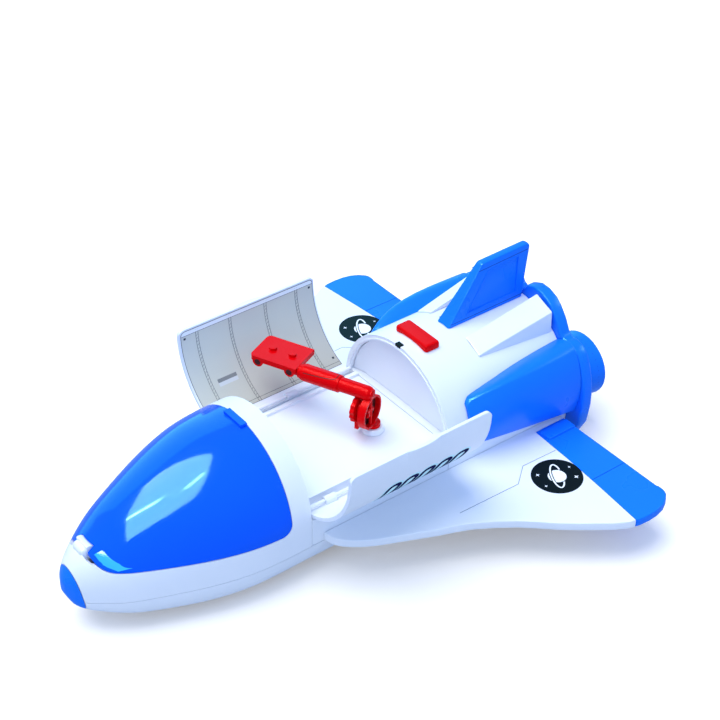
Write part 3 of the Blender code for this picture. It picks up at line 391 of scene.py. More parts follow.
def make_world():
    """A pale blue surrounding that the camera sees as white paper."""
    world = bpy.data.worlds.new("studio")
    world.use_nodes = True
    tree = world.node_tree
    ray = tree.nodes.new("ShaderNodeLightPath")
    seen = mixed(tree, ray.outputs["Is Camera Ray"], SKY, PAPER)
    tree.links.new(seen, tree.nodes["Background"].inputs["Color"])
    SCENE.world = world
    SCENE.view_settings.view_transform = "Standard"
    SCENE.view_settings.look = "None"
    SCENE.cycles.caustics_reflective = False
    SCENE.cycles.sample_clamp_indirect = INDIRECT_LIMIT


def make_floor():
    """A plain pale floor that shows in no reflection."""
    work = bmesh.new()
    bmesh.ops.create_grid(work, x_segments=1, y_segments=1, size=FLOOR_HALF)
    mesh = bpy.data.meshes.new("floor")
    work.to_mesh(mesh)
    work.free()
    floor = link("floor", mesh)
    paper = principled("floor_paper", FLOOR, 0.95, specular=0.05)
    tree, shader = paper.node_tree, shader_of(paper)
    ray = tree.nodes.new("ShaderNodeLightPath")
    seen = mixed(tree, ray.outputs["Is Camera Ray"], FLOOR_BOUNCE, FLOOR)
    tree.links.new(seen, shader.inputs["Base Color"])
    glow = mixed(tree, ray.outputs["Is Camera Ray"], BLACK, FLOOR_GLOW)
    tree.links.new(glow, shader.inputs["Emission Color"])
    put(shader, {"Emission Strength": 1.0})
    mesh.materials.append(paper)
    floor.visible_glossy = False


def make_suns():
    """Two wide suns that show in no reflection."""
    for name, energy, spread, colour, toward in SUNS:
        sun = bpy.data.lights.new(name, "SUN")
        sun.energy = energy
        sun.angle = radians(spread)
        sun.color = colour
        lamp = link(name, sun)
        lamp.rotation_euler = Vector(toward).to_track_quat("Z", "Y").to_euler()
        lamp.visible_glossy = False


def make_window():
    """A lit pane that shows only in reflections."""
    work = bmesh.new()
    corners = [work.verts.new(point) for point in WINDOW]
    hub = work.verts.new(sum((Vector(point) for point in WINDOW), Vector()) / len(WINDOW))
    for first, second in zip(corners, corners[1:] + corners[:1]):
        work.faces.new((first, second, hub))
    pane = link("window", mesh_from(work, "window"))
    glass = principled("window_glow", BLACK, 1.0, specular=0.0)
    put(shader_of(glass), {"Emission Color": (*PLAIN, 1.0), "Emission Strength": WINDOW_POWER})
    pane.data.materials.append(glass)
    pane.visible_camera = False
    pane.visible_diffuse = False
    pane.visible_shadow = False


def make_stage():
    """Camera, surrounding, floor and lights."""
    make_camera()
    make_world()
    make_floor()
    make_suns()
    make_window()
    for row in SOFTBOXES:
        softbox(*row)


def put(node, values):
    """Set constants on a node's sockets."""
    for socket, value in values.items():
        node.inputs[socket].default_value = value


def principled(name, colour, roughness, specular=0.5, tint=PLAIN):
    """A material with its shader's constants set."""
    material = bpy.data.materials.new(name)
    material.use_nodes = True
    put(shader_of(material), {"Base Color": (*colour, 1.0), "Roughness": roughness,
                              "Specular IOR Level": specular, "Specular Tint": (*tint, 1.0)})
    material.diffuse_color = (*colour, 1.0)
    return material


def shader_of(material):
    """The material's shader node."""
    return material.node_tree.nodes["Principled BSDF"]


def noise(tree, scale, source):
    """A noise texture on the object's own coordinates."""
    texture = tree.nodes.new("ShaderNodeTexNoise")
    put(texture, {"Scale": scale, "Detail": NOISE_DETAIL})
    tree.links.new(source, texture.inputs["Vector"])
    return texture.outputs["Fac"]


def ranged(tree, value, low, high, start=0.3, end=0.7):
    """The value's stretch from start to end spread between low and high."""
    spread = tree.nodes.new("ShaderNodeMapRange")
    put(spread, {"From Min": start, "From Max": end, "To Min": low, "To Max": high})
    tree.links.new(value, spread.inputs["Value"])
    return spread.outputs["Result"]


def mixed(tree, factor, first, second):
    """A colour between two others, either of which may be a node's output."""
    mix = tree.nodes.new("ShaderNodeMix")
    mix.data_type = "RGBA"
    tree.links.new(factor, mix.inputs["Factor"])
    for socket, value in (("A", first), ("B", second)):
        if isinstance(value, tuple):
            put(mix, {socket: (*value, 1.0)})
        else:
            tree.links.new(value, mix.inputs[socket])
    return mix.outputs["Result"]


def plastic(name, colour, roughness, drift=0.02, grain=0.0008, specular=0.5, tint=PLAIN):
    """Moulded plastic: slow drift of its tone, uneven gloss and a fine grain."""
    material = principled(name, colour, roughness, specular, tint)
    tree, shader = material.node_tree, shader_of(material)
    place = tree.nodes.new("ShaderNodeTexCoord").outputs["Object"]
    darker = tuple(c * (1 - drift) for c in colour)
    lighter = tuple(min(c * (1 + drift), 1.0) for c in colour)
    tone = mixed(tree, ranged(tree, noise(tree, TONE_SCALE, place), 0, 1), darker, lighter)
    tree.links.new(tone, shader.inputs["Base Color"])
    low, high = roughness * (1 - GLOSS_DRIFT), roughness * (1 + GLOSS_DRIFT)
    gloss = ranged(tree, noise(tree, GLOSS_SCALE, place), low, high)
    tree.links.new(gloss, shader.inputs["Roughness"])
    fine = tree.nodes.new("ShaderNodeBump")
    put(fine, {"Strength": grain, "Distance": GRAIN_DEPTH})
    tree.links.new(noise(tree, GRAIN_SCALE, place), fine.inputs["Height"])
    tree.links.new(fine.outputs["Normal"], shader.inputs["Normal"])
    return material


def film_with_painted_light():
    """Printed film with painted light: a painted sheen makes it pale at the door's free edge, and painted
    shade makes it greyer toward the hinge and the rear.
    """
    material = plastic("bay_print", FILM_GREY, 0.4, grain=0.0, specular=0.2)
    tree = material.node_tree
    place = tree.nodes.new("ShaderNodeTexCoord").outputs["Object"]
    parts = tree.nodes.new("ShaderNodeSeparateXYZ")
    tree.links.new(place, parts.inputs["Vector"])
    shade_share = ranged(tree, parts.outputs["X"], 0, 1, *FILM_SHADE_FADE_X)
    rearward = ranged(tree, parts.outputs["Y"], 0, 1, *FILM_SHADE_FADE_Y)
    outer = mixed(tree, rearward, *FILM_LIT_TONES)
    inner = mixed(tree, rearward, *FILM_SHADED_TONES)
    tree.links.new(mixed(tree, shade_share, outer, inner), shader_of(material).inputs["Base Color"])
    return material


WHITE_SHELL = plastic("white_shell", WHITE, 0.34, drift=0.012, specular=0.3)
BLUE_SHELL = plastic("blue_shell", BLUE, 0.28, specular=0.28, tint=CYAN_GLOSS)
CANOPY_BLUE = plastic("canopy_blue", DEEP_BLUE, 0.09, grain=0.0004, specular=0.24, tint=CYAN_GLOSS)
RED_SHELL = plastic("red_shell", RED, 0.24, specular=0.10, tint=RED_GLOSS)
# Pale cyan of the painted highlight on the canopy's corner beside its hinge
CANOPY_HIGHLIGHT_CYAN = plastic("canopy_painted_highlight", (0.04, 0.50, 1.0), 0.12, specular=0.4)
GREY_SHELL = plastic("grey_shell", (0.42, 0.46, 0.52), 0.5, grain=0.02, specular=0.3)
STEEL = plastic("axle_steel", (0.62, 0.62, 0.64), 0.3, drift=0.05)
put(shader_of(STEEL), {"Metallic": 1.0})
SEAM_BLUE = plastic("seam_blue", (0.003, 0.08, 0.52), 0.5, drift=0.05, specular=0.1)
# Painted shade: darker grey-blue in engraved grooves, in screw wells and on the flat patches that stand for
# vents and speaker slots; it also draws the hatch and battery-door seams and the arrow
SEAM_SHADE = plastic("seam_shade", (0.30, 0.38, 0.48), 0.6, drift=0.05, specular=0.2)
# Near-black for prints and the console's screen, and painted shade in the latch slot and the screws'
# crosses
DARK_PRINT_AND_SHADE = plastic("dark_print_and_shade", (0.002, 0.006, 0.006), 0.4, drift=0.05, specular=0.08)
NAVY_PRINT = plastic("navy_print", (0.002, 0.002, 0.060), 0.6, drift=0.05, specular=0.02)
ICE_PRINT = plastic("ice_print", (0.60, 0.93, 1.0), 0.35, drift=0.05, specular=0.3)
# Dark red for the sleeve's line, and painted shade inside the drum and in the ribs' hollows
RED_LINE_AND_SHADE = plastic("red_line_and_shade", (0.05, 0.001, 0.002), 0.5, drift=0.05, specular=0.15)
WHITE_PRINT = plastic("white_print", (0.90, 0.94, 0.94), 0.4, drift=0.05, specular=0.3)
LINE_PRINT = plastic("line_print", (0.060, 0.070, 0.080), 0.5, drift=0.05, specular=0.2)
MATERIALS = {
    "white_plastic": WHITE_SHELL,
    "blue_plastic": BLUE_SHELL,
    "canopy_plastic": CANOPY_BLUE,
    "red_plastic": RED_SHELL,
    "grey_plastic": GREY_SHELL,
    "dark_plastic": plastic("tyre_rubber", (0.018, 0.018, 0.02), 0.65, grain=0.1, specular=0.2),
    "lamp_plastic": plastic("lamp_red", (0.95, 0.06, 0.01), 0.12),
    "axle_steel": STEEL,
}

# Rounding of the CAD nodes' edges. The wings' edges are round in the CAD
EDGE = 0.25 * MM
ARM_NODES = ("arm_turret", "arm_boom", "foot_plate")
EDGES = {"sound_button": 0.5 * MM, "nose_cap": 0.4 * MM, **dict.fromkeys(ARM_NODES, 0.22 * MM)}
for name, _ in SIDES:
    EDGES.update({name + "_pod": 0.9 * MM, name + "_elevon": 0.15 * MM, name + "_wing": 0})
CREASE_ANGLE = radians(35)
MERGE_DISTANCE = 0.002 * MM
FLAT_ANGLE = radians(0.4)
SLOT_OF = {part["node"]: part["material_slot"] for part in frame["record"]["subparts"]}
BODY_OF = {node: body for body, nodes in frame["record"]["behaviour"]["bodies"].items() for node in nodes}

# Knobs on the console
KNOBS = ((-8, WHITE_SHELL), (-4, WHITE_SHELL), (0, RED_SHELL), (4, WHITE_SHELL), (8, WHITE_SHELL))


def add_piece(mesh, material, body="airframe"):
    """Link a mesh as a piece of its own that rides on a body."""
    piece = link(mesh.name, mesh)
    mesh.materials.clear()
    mesh.materials.append(material)
    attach(piece, body)
    return piece


def mesh_from(work, name):
    """Turn a bmesh into a mesh with its faces pointing out."""
    bmesh.ops.recalc_face_normals(work, faces=work.faces)
    mesh = bpy.data.meshes.new(name)
    work.to_mesh(mesh)
    work.free()
    return mesh


def soften(piece, width, angle=30, segments=2):
    """Round the piece's sharp edges a little."""
    edge = piece.modifiers.new("edge", "BEVEL")
    edge.width = width
    edge.segments = segments
    edge.limit_method = "ANGLE"
    edge.angle_limit = radians(angle)
    return piece


def cut(piece, *cutters):
    """Cut scene-only solids out of the piece. The cut faces take the cutter's material."""
    for cutter in cutters:
        step = piece.modifiers.new(cutter.name, "BOOLEAN")
        step.operation = "DIFFERENCE"
        step.solver = "EXACT"
        step.material_mode = "TRANSFER"
        step.object = cutter


def settle(piece):
    """Apply the piece's modifiers, drop its cutters and shade it smooth with crisp edges."""
    graph = bpy.context.evaluated_depsgraph_get()
    mesh = bpy.data.meshes.new_from_object(piece.evaluated_get(graph))
    cutters = [step.object for step in piece.modifiers if step.type == "BOOLEAN"]
    piece.modifiers.clear()
    piece.data = mesh
    for cutter in cutters:
        bpy.data.objects.remove(cutter)
    mesh.shade_smooth()
    mesh.set_sharp_from_angle(angle=CREASE_ANGLE)
    normals = piece.modifiers.new("normals", "WEIGHTED_NORMAL")
    normals.keep_sharp = True


def dress(node, cutters=()):
    """A smooth, soft-edged copy of a CAD node that is shown in its place."""
    work = bmesh.new()
    work.from_mesh(frame["nodes"][node].data)
    bmesh.ops.remove_doubles(work, verts=work.verts, dist=MERGE_DISTANCE)
    bmesh.ops.dissolve_limit(work, angle_limit=FLAT_ANGLE, verts=work.verts, edges=work.edges)
    mesh = bpy.data.meshes.new(node + "_skin")
    points = [vertex.co[:] for vertex in work.verts]
    faces = [[vertex.index for vertex in face.verts] for face in work.faces]
    mesh.from_pydata(points, [], faces)
    work.free()
    piece = add_piece(mesh, MATERIALS[SLOT_OF[node]], BODY_OF[node])
    edge = EDGES.get(node, EDGE)
    if edge:
        soften(piece, edge)
    cut(piece, *cutters)
    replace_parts(piece, node)
    settle(piece)


def solid(mesh, material):
    """A hidden solid for cutting."""
    body = link(mesh.name, mesh)
    mesh.materials.append(material)
    body.hide_render = True
    return body


def loft(name, rings):
    """A closed mesh through rings of points, with flat ends."""
    work = bmesh.new()
    rows = [[work.verts.new(point) for point in ring] for ring in rings]
    count = len(rows[0])
    for low, high in zip(rows, rows[1:]):
        for i in range(count):
            j = (i + 1) % count
            work.faces.new((low[i], low[j], high[j], high[i]))
    work.faces.new(rows[0])
    work.faces.new(rows[-1])
    return mesh_from(work, name)


def block_mesh(name, low, high):
    """A box between two corners."""
    (x0, y0, z0), (x1, y1, z1) = low, high
    rings = [[(x0, y0, z), (x1, y0, z), (x1, y1, z), (x0, y1, z)] for z in (z0, z1)]
    return loft(name, rings)


def rod_mesh(name, centre, half, radius, sides):
    """A cylinder along X."""
    work = bmesh.new()
    size = {"radius1": radius, "radius2": radius, "depth": 2 * half}
    bmesh.ops.create_cone(work, cap_ends=True, segments=sides, **size)
    turn = Vector((1, 0, 0)).to_track_quat("Z", "Y").to_matrix().to_4x4()
    bmesh.ops.transform(work, matrix=Matrix.Translation(centre) @ turn, verts=work.verts)
    return mesh_from(work, name)


def turned_mesh(name, profile, place, steps):
    """A closed solid of revolution about the place's Z, from a profile in millimetres."""
    work = bmesh.new()
    rows = []
    for radius, height in mm_points(profile):
        if radius == 0:
            rows.append([work.verts.new((0, 0, height))] * steps)
            continue
        rows.append([work.verts.new((x, y, height)) for x, y in circle(radius, steps)])
    closed = profile[0][0] != 0
    for low, high in zip(rows, rows[1:] + rows[:1] if closed else rows[1:]):
        for i in range(steps):
            j = (i + 1) % steps
            corners = []
            for corner in (low[i], low[j], high[j], high[i]):
                if corner not in corners:
                    corners.append(corner)
            work.faces.new(corners)
    bmesh.ops.transform(work, matrix=place, verts=work.verts)
    return mesh_from(work, name)


def skin_points(work, low, high, rows):
    """The low and the high layer of vertices over rows of surface points."""
    return [[[work.verts.new(layer(u, v)) for u, v in row] for row in rows] for layer in (low, high)]


def slab(work, low, high, rows):
    """A thin closed body over a grid of surface points: low and high map them to space."""
    layers = skin_points(work, low, high, rows)
    last_row, last_column = len(rows) - 1, len(rows[0]) - 1
    for grid in layers:
        for i in range(last_row):
            for j in range(last_column):
                work.faces.new((grid[i][j], grid[i + 1][j], grid[i + 1][j + 1], grid[i][j + 1]))
    edge = [(0, j) for j in range(last_column)] + [(i, last_column) for i in range(last_row)]
    edge += [(last_row - i, last_column - j) for i, j in edge]
    for (i, j), (k, m) in zip(edge, edge[1:] + edge[:1]):
        work.faces.new((layers[0][i][j], layers[0][k][m], layers[1][k][m], layers[1][i][j]))


def panel(work, low, high, corners, steps=1):
    """A four-cornered patch of a surface as a thin closed body, in steps from its first edge."""
    a, b, c, d = (Vector(corner) for corner in corners)
    rows = []
    for i in range(steps + 1):
        share = i / steps
        rows.append([tuple(a.lerp(d, share)), tuple(b.lerp(c, share))])
    slab(work, low, high, rows)


def box(u0, v0, u1, v1):
    """The corners of an upright rectangle of a surface."""
    return ((u0, v0), (u1, v0), (u1, v1), (u0, v1))


def stroke(work, low, high, points, width, closed=False):
    """A line of even width along points of a surface, as a thin closed body."""
    points = [Vector(point) for point in points]
    count = len(points)
    rows = []
    for i, point in enumerate(points):
        before = points[(i - 1) % count] if closed or i else point
        after = points[(i + 1) % count] if closed or i < count - 1 else point
        first, last = (point - before), (after - point)
        first = first.normalized() if first.length else last.normalized()
        last = last.normalized() if last.length else first
        along = (first + last).normalized()
        across = Vector((-along.y, along.x)) * (width / 2 / max(along.dot(first), MITRE_LIMIT))
        rows.append([tuple(point - across), tuple(point + across)])
    if not closed:
        slab(work, low, high, rows)
        return
    layers = skin_points(work, low, high, rows)
    for i in range(count):
        j = (i + 1) % count
        for grid in layers:
            work.faces.new((grid[i][0], grid[j][0], grid[j][1], grid[i][1]))
        for side in (0, 1):
            work.faces.new((layers[0][i][side], layers[0][j][side], layers[1][j][side], layers[1][i][side]))


def shape(work, low, high, outline):
    """A filled convex or star-shaped outline as a thin closed body."""
    count = len(outline)
    middle = (sum(u for u, _ in outline) / count, sum(v for _, v in outline) / count)
    layers = [[work.verts.new(layer(u, v)) for u, v in outline] for layer in (low, high)]
    hubs = [work.verts.new(layer(*middle)) for layer in (low, high)]
    for i in range(count):
        j = (i + 1) % count
        for ring, hub in zip(layers, hubs):
            work.faces.new((ring[i], ring[j], hub))
        work.faces.new((layers[0][i], layers[0][j], layers[1][j], layers[1][i]))


def circle(radius, steps):
    """Points around a circle about the origin."""
    return [(radius * cos(2 * pi * i / steps), radius * sin(2 * pi * i / steps)) for i in range(steps)]


def planet_ring(steps, start, end):
    """Points along the planet's tilted ring between two angles."""
    points = []
    for i in range(steps + 1):
        angle = start + (end - start) * i / steps
        x, y = RING_RADIUS * cos(angle), RING_RADIUS * RING_SQUASH * sin(angle)
        points.append((x * cos(RING_TILT) - y * sin(RING_TILT), x * sin(RING_TILT) + y * cos(RING_TILT)))
    return points


def level(z):
    """A flat surface at a height."""
    return lambda x, y: (x, y, z)


def upright(y):
    """A flat surface across the fuselage."""
    return lambda x, z: (x, y, z)


def door_surface(side, radius):
    """The opened door's curved face at a radius: y along it and the arc up from the body's waist."""
    pin = Matrix.Translation((side * DOOR_HINGE.x, 0, DOOR_HINGE.z))
    swing = pin @ Matrix.Rotation(side * DOOR_OPEN, 4, "Y") @ pin.inverted()

    def place(y, arc):
        angle = arc / BODY_RADIUS
        return swing @ Vector((side * radius * cos(angle), y, BODY_AXIS_Z + radius * sin(angle)))
    return place


def add_work(name, work, material, body="airframe"):
    """Turn finished work into a piece."""
    return add_piece(mesh_from(work, name), material, body)


def add_turned(name, profile, place, material, body="airframe", steps=48):
    """A solid of revolution as a piece."""
    return add_piece(turned_mesh(name, profile, place, steps), material, body)


def smooth_path(rows, steps):
    """Extra rows between the given ones, along a curve through all of them."""
    path = []
    for i in range(len(rows) - 1):
        before = rows[max(i - 1, 0)]
        after = rows[min(i + 2, len(rows) - 1)]
        for step in range(steps):
            t = step / steps
            path.append(tuple(
                0.5 * (2 * b + (c - a) * t + (2 * a - 5 * b + 4 * c - d) * t * t
                       + (3 * b - a - 3 * c + d) * t ** 3)
                for a, b, c, d in zip(before, rows[i], rows[i + 1], after)))
    path.append(rows[-1])
    return path


def hull_ring(row, grow, sides):
    """One section of the fuselage: round above its widest point, squarer below."""
    y, half_width, waist, crown, belly = mm(*row)
    ring = []
    for i in range(sides):
        c, s = cos(2 * pi * i / sides), sin(2 * pi * i / sides)
        if s >= 0:
            ring.append(((half_width + grow) * c, y, waist + (crown + grow - waist) * s))
        else:
            low = [abs(value) ** (2 / BELLY_POWER) * (1 if value >= 0 else -1) for value in (c, s)]
            ring.append(((half_width + grow) * low[0], y, waist + (waist - belly + grow) * low[1]))
    return ring


def nose_surface(lift):
    """The fuselage's face at a height above it, from y and the angle up from port."""
    path = smooth_path(NOSE_SECTIONS, NOSE_STEPS)

    def place(y, turn):
        row = min(path, key=lambda entry: abs(entry[0] * MM - y))
        half_width, waist, crown = mm(*row[1:4])
        return ((half_width + lift) * cos(turn), y, waist + (crown + lift - waist) * sin(turn))
    return place


def canopy_outline(steps):
    """What the canopy takes of the nose, in side view, and up past its crown."""
    outline = [(CANOPY_FRONT[0] + CANOPY_GAP, CUTTER_TOP)]
    for (y, z), (reach, rise), side in zip((CANOPY_FRONT, CANOPY_REAR), CANOPY_CORNERS, (1, -1)):
        arc = []
        for step in range(steps + 1):
            angle = pi / 2 * step / steps
            along = reach - (reach - CANOPY_GAP) * cos(angle)
            up = rise - (rise - CANOPY_GAP) * sin(angle)
            arc.append((y + side * along, z + up))
        outline += arc[::side]
    outline.append((CANOPY_REAR[0] - CANOPY_GAP, CUTTER_TOP))
    return outline


def make_canopy():
    """The canopy with a finer skin than the CAD's, for clean reflections."""
    outer_rows = smooth_path(CANOPY_SECTIONS, NOSE_STEPS)
    inner_rows = smooth_path(CANOPY_SECTIONS, steps=5)
    outer = loft("canopy_skin", [hull_ring(row, 0, sides=176) for row in outer_rows])
    inner = loft("canopy_inside", [hull_ring(row, -SHELL_WALL, sides=120) for row in inner_rows])
    outline = canopy_outline(steps=16)
    reach = loft("canopy_reach", [[(x, y, z) for y, z in outline] for x in (-CUTTER_HALF, CUTTER_HALF)])
    piece = add_piece(outer, CANOPY_BLUE, "canopy_lid")
    keep = piece.modifiers.new("keep", "BOOLEAN")
    keep.operation = "INTERSECT"
    keep.solver = "EXACT"
    keep.object = solid(reach, CANOPY_BLUE)
    half = HINGE_HALF + CANOPY_GAP
    notch = rod_mesh("hinge_notch", (0, *CANOPY_HINGE), half, HINGE_BARREL + CANOPY_GAP, sides=64)
    opening = block_mesh("hinge_opening", (-half, CUTTER_FRONT, 0), (half, CANOPY_HINGE[0], CUTTER_TOP))
    cut(piece, *(solid(mesh, CANOPY_BLUE) for mesh in (inner, notch, opening)))
    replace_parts(piece, "canopy")
    settle(piece)
    settle(soften(piece, CANOPY_EDGE, angle=40))


def shortened(span, start, end):
    """A span with its ends pulled in."""
    return (span[0] + start, span[1] - end)


def film_rows(steps):
    """The film's rows from the sill up: the arc, and how far its round corners pull the ends in."""
    low, high = FILM_ARC
    rows = [(low + (high - FILM_CORNER - low) * i / steps, 0.0) for i in range(steps)]
    for i in range(QUARTER_STEPS + 1):
        angle = pi / 2 * i / QUARTER_STEPS
        rows.append((high - FILM_CORNER * (1 - sin(angle)), FILM_CORNER * (1 - cos(angle))))
    return rows


def film_span(rows):
    """Points across the film at each of its rows."""
    start, end = FILM_Y
    return [[(start + inset, arc), (0, arc), (end - inset, arc)] for arc, inset in rows]


def film_lines(film, ink, rows):
    """The film's ribs with their hatching, its border, cross lines and corner squares."""
    start, end = FILM_Y
    work = bmesh.new()
    low, high = shortened(FILM_ARC, *FILM_HATCH_ENDS)
    below_edge = rows[:-3]
    for y in FILM_RIBS:
        for shift in (-FILM_RIB_HALF, FILM_RIB_HALF):
            rib = [(y + shift, arc) for arc, _ in below_edge]
            stroke(work, film, ink, rib, FILM_LINE)
        for i in range(FILM_RUNGS):
            arc = low + (high - low) * i / (FILM_RUNGS - 1)
            rung = [(y - FILM_RUNG_HALF, arc), (y + FILM_RUNG_HALF, arc + FILM_RUNG_RISE)]
            stroke(work, film, ink, rung, FILM_RUNG_LINE)
    border = [(start + inset + FILM_BORDER_INSET, arc) for arc, inset in rows]
    border += [(end - inset - FILM_BORDER_INSET, arc) for arc, inset in reversed(rows)]
    stroke(work, film, ink, border, FILM_BORDER_LINE, closed=True)
    for arc in shortened(FILM_ARC, *FILM_CROSS_ENDS):
        cross = [(y, arc) for y in shortened(FILM_Y, FILM_CROSS_INSET, FILM_CROSS_INSET)]
        stroke(work, film, ink, cross, FILM_LINE)
    for y in shortened(FILM_Y, FILM_DOT_INSET, FILM_DOT_INSET):
        for arc in shortened(FILM_ARC, *FILM_DOT_ENDS):
            dot = box(y - FILM_DOT_HALF, arc - FILM_DOT_HALF, y + FILM_DOT_HALF, arc + FILM_DOT_HALF)
            panel(work, film, ink, dot)
    return work


def make_bay_print():
    """Grey panelled print on the inside of the starboard door."""
    back, film, ink = (door_surface(-1, BODY_RADIUS - DOOR_WALL - lift) for lift in FILM_LIFTS)
    rows, body = film_rows(steps=26), "starboard_bay_door"
    work = bmesh.new()
    slab(work, back, film, film_span(rows))
    add_work("bay_print", work, film_with_painted_light(), body)
    add_work("bay_print_lines", film_lines(film, ink, rows), LINE_PRINT, body)
    work = bmesh.new()
    slab(work, film, ink, film_span([(FILM_ARC[1] - drop, inset) for drop, inset in mm_points(FILM_BAND)]))
    add_work("bay_print_band", work, WHITE_PRINT, body)
    for name, (low, high), colour in FILM_MARKS:
        work = bmesh.new()
        panel(work, film, ink, box(FILM_MARK_Y[0], low * MM, FILM_MARK_Y[1], high * MM), steps=2)
        add_work("bay_print_mark_" + name, work, plastic("mark_" + name, colour, 0.45), body)


def rounded_bar(u, v, width, height, corner, lean=0.0, grow=0.0):
    """Rows of points across a bar with round corners, slanted by its lean and grown by a margin."""
    corner += grow
    half_width, straight = width / 2 + grow, height / 2 + grow - corner
    quarter = [pi / 2 * i / QUARTER_STEPS for i in range(1, QUARTER_STEPS + 1)]
    ends = [(straight + corner * sin(angle), half_width - corner * (1 - cos(angle))) for angle in quarter]
    steps = max(1, round(2 * straight / ROW_PITCH))
    side = [(-straight + 2 * straight * i / steps, half_width) for i in range(steps + 1)]
    rows = []
    for rise, half in [(-rise, half) for rise, half in reversed(ends)] + side + ends:
        middle = u + lean * rise / height
        rows.append([(middle - half, v + rise), (middle, v + rise), (middle + half, v + rise)])
    return rows


def rim(rows):
    """The outline around rows of points."""
    return [row[-1] for row in rows] + [row[0] for row in reversed(rows)]


def make_door_bars():
    """Plain slanted frames with a pale ground on the outside of the port door."""
    back, film, ink = (door_surface(1, BODY_RADIUS + lift) for lift in BAR_LIFTS)
    pale, navy = bmesh.new(), bmesh.new()
    for i in range(BAR_COUNT):
        bar = (BAR_START + BAR_PITCH * i, *BAR)
        slab(pale, back, film, rounded_bar(*bar, BAR_MARGIN))
        stroke(navy, film, ink, rim(rounded_bar(*bar)), BAR_LINE, closed=True)
    add_work("door_bars_pale", pale, ICE_PRINT, "port_bay_door")
    add_work("door_bars_navy", navy, NAVY_PRINT, "port_bay_door")


def star(x, y, size):
    """Points around a four-pointed star."""
    points = []
    for i in range(8):
        reach = size if i % 2 == 0 else size * STAR_WAIST
        points.append((x + reach * cos(pi / 4 * i), y + reach * sin(pi / 4 * i)))
    return points


def make_wing_discs():
    """Black discs with a ringed planet and stars on the wings."""
    base, disc_top, planet_top, gap_top, ring_top = (level(WING_TOP_Z + layer) for layer in DISC_LAYERS)
    for name, side in SIDES:
        x0, y0 = mm_points([DISC_CENTRE], side)[0]

        def near(points):
            return [(x0 + x * MM, y0 + y * MM) for x, y in points]
        disc, emblem, gap, ring = (bmesh.new() for _ in DISC_LAYERS[1:])
        shape(disc, base, disc_top, near(circle(DISC_RADIUS, steps=96)))
        shape(emblem, disc_top, planet_top, near(circle(PLANET_RADIUS, steps=48)))
        for row in STARS:
            shape(emblem, disc_top, planet_top, near(star(*row)))
        stroke(gap, planet_top, gap_top, near(planet_ring(*RING_GAP)), RING_GAP_LINE)
        stroke(ring, gap_top, ring_top, near(planet_ring(*RING_SEEN)), RING_LINE)
        add_work(name + "_wing_disc", disc, DARK_PRINT_AND_SHADE)
        add_work(name + "_wing_emblem", emblem, WHITE_PRINT)
        add_work(name + "_wing_emblem_gap", gap, DARK_PRINT_AND_SHADE)
        add_work(name + "_wing_emblem_ring", ring, WHITE_PRINT)


def groove(name, points, width, material):
    """A cutter that engraves a line into the wing's top; the groove's faces take its darker material as
    painted shade.
    """
    work = bmesh.new()
    stroke(work, level(WING_TOP_Z - GROOVE_DEPTH), level(WING_TOP_Z + MM), points, width)
    return solid(mesh_from(work, name), material)


def make_wings():
    """Wings with an engraved panel line, and elevons with a seam and a trimmed tip."""
    for name, side in SIDES:
        line, seam, tip = (mm_points(table, side) for table in (WING_LINE, ELEVON_SEAM, TIP_TRIM))
        dress(name + "_wing", [groove(name + "_wing_line", line, WING_LINE_WIDTH, SEAM_SHADE)])
        seam_cutter = groove(name + "_elevon_seam", seam, ELEVON_SEAM_WIDTH, SEAM_BLUE)
        trim = block_mesh(name + "_tip_trim", *tip)
        dress(name + "_elevon", [seam_cutter, solid(trim, BLUE_SHELL)])


def sleeve_surface(arm, radius):
    """The boom's round face at a radius: y along it and the arc from its top."""
    def place(y, arc):
        angle = arc / (SLEEVE_RADIUS * MM)
        return arm @ Vector((radius * sin(angle), y, BOOM_RISE + radius * cos(angle)))
    return place


def hub_mesh(arm, steps):
    """The drum's hub, a disc with five lobes."""
    rings = []
    for height, share in HUB_LAYERS:
        ring = []
        for i in range(steps):
            angle = 2 * pi * i / steps
            radius = (HUB_RADIUS + HUB_LOBE * cos(HUB_LOBES * angle)) * share * MM
            ring.append(arm @ Vector((radius * cos(angle), height * MM, radius * sin(angle))))
        rings.append(ring)
    return loft("drum_hub", rings)


def make_arm():
    """The arm's skins, its fuller rod, the sleeve's line, the drum's hub, and painted shade inside the drum
    and in the plate's hollow ribs.
    """
    # The arm's frame at the drum: +X across, +Y along the boom, +Z up
    arm = placed(DRUM_CENTRE, pi - ARM_YAW, "Z")
    for node in ARM_NODES:
        dress(node)
    place = arm @ placed((0, 0, BOOM_RISE), -pi / 2, "X")
    settle(add_turned("boom_rod", ROD_PROFILE, place, RED_SHELL, "boom"))

    tongue = []
    for i in range(-TONGUE_STEPS, TONGUE_STEPS + 1):
        share = i / TONGUE_STEPS
        reach = TONGUE_REACH * abs(share) ** TONGUE_POWER
        tongue.append(mm(TONGUE_START + reach, SLEEVE_RADIUS * share))
    work = bmesh.new()
    stroke(work, *(sleeve_surface(arm, radius) for radius in TONGUE_SKINS), tongue, TONGUE_LINE)
    add_work("sleeve_outline", work, RED_LINE_AND_SHADE, "boom")

    place = arm @ placed((0, 0, 0), -pi / 2, "X")
    add_turned("drum_painted_shade", DRUM_SHADE_PROFILE, place, RED_LINE_AND_SHADE, "boom")
    hub = add_piece(hub_mesh(arm, steps=60), RED_SHELL, "boom")
    settle(soften(hub, HUB_EDGE))

    for i, y in enumerate(RIB_ROWS):
        for end, x, out in RIB_ENDS:
            place = arm @ placed(mm(x, y, RIB_Z), out * pi / 2, "Y")
            add_turned(f"rib_hollow_shade_{i}_{end}", HOLLOW_SHADE_PROFILE, place, RED_LINE_AND_SHADE, "plate", steps=24)


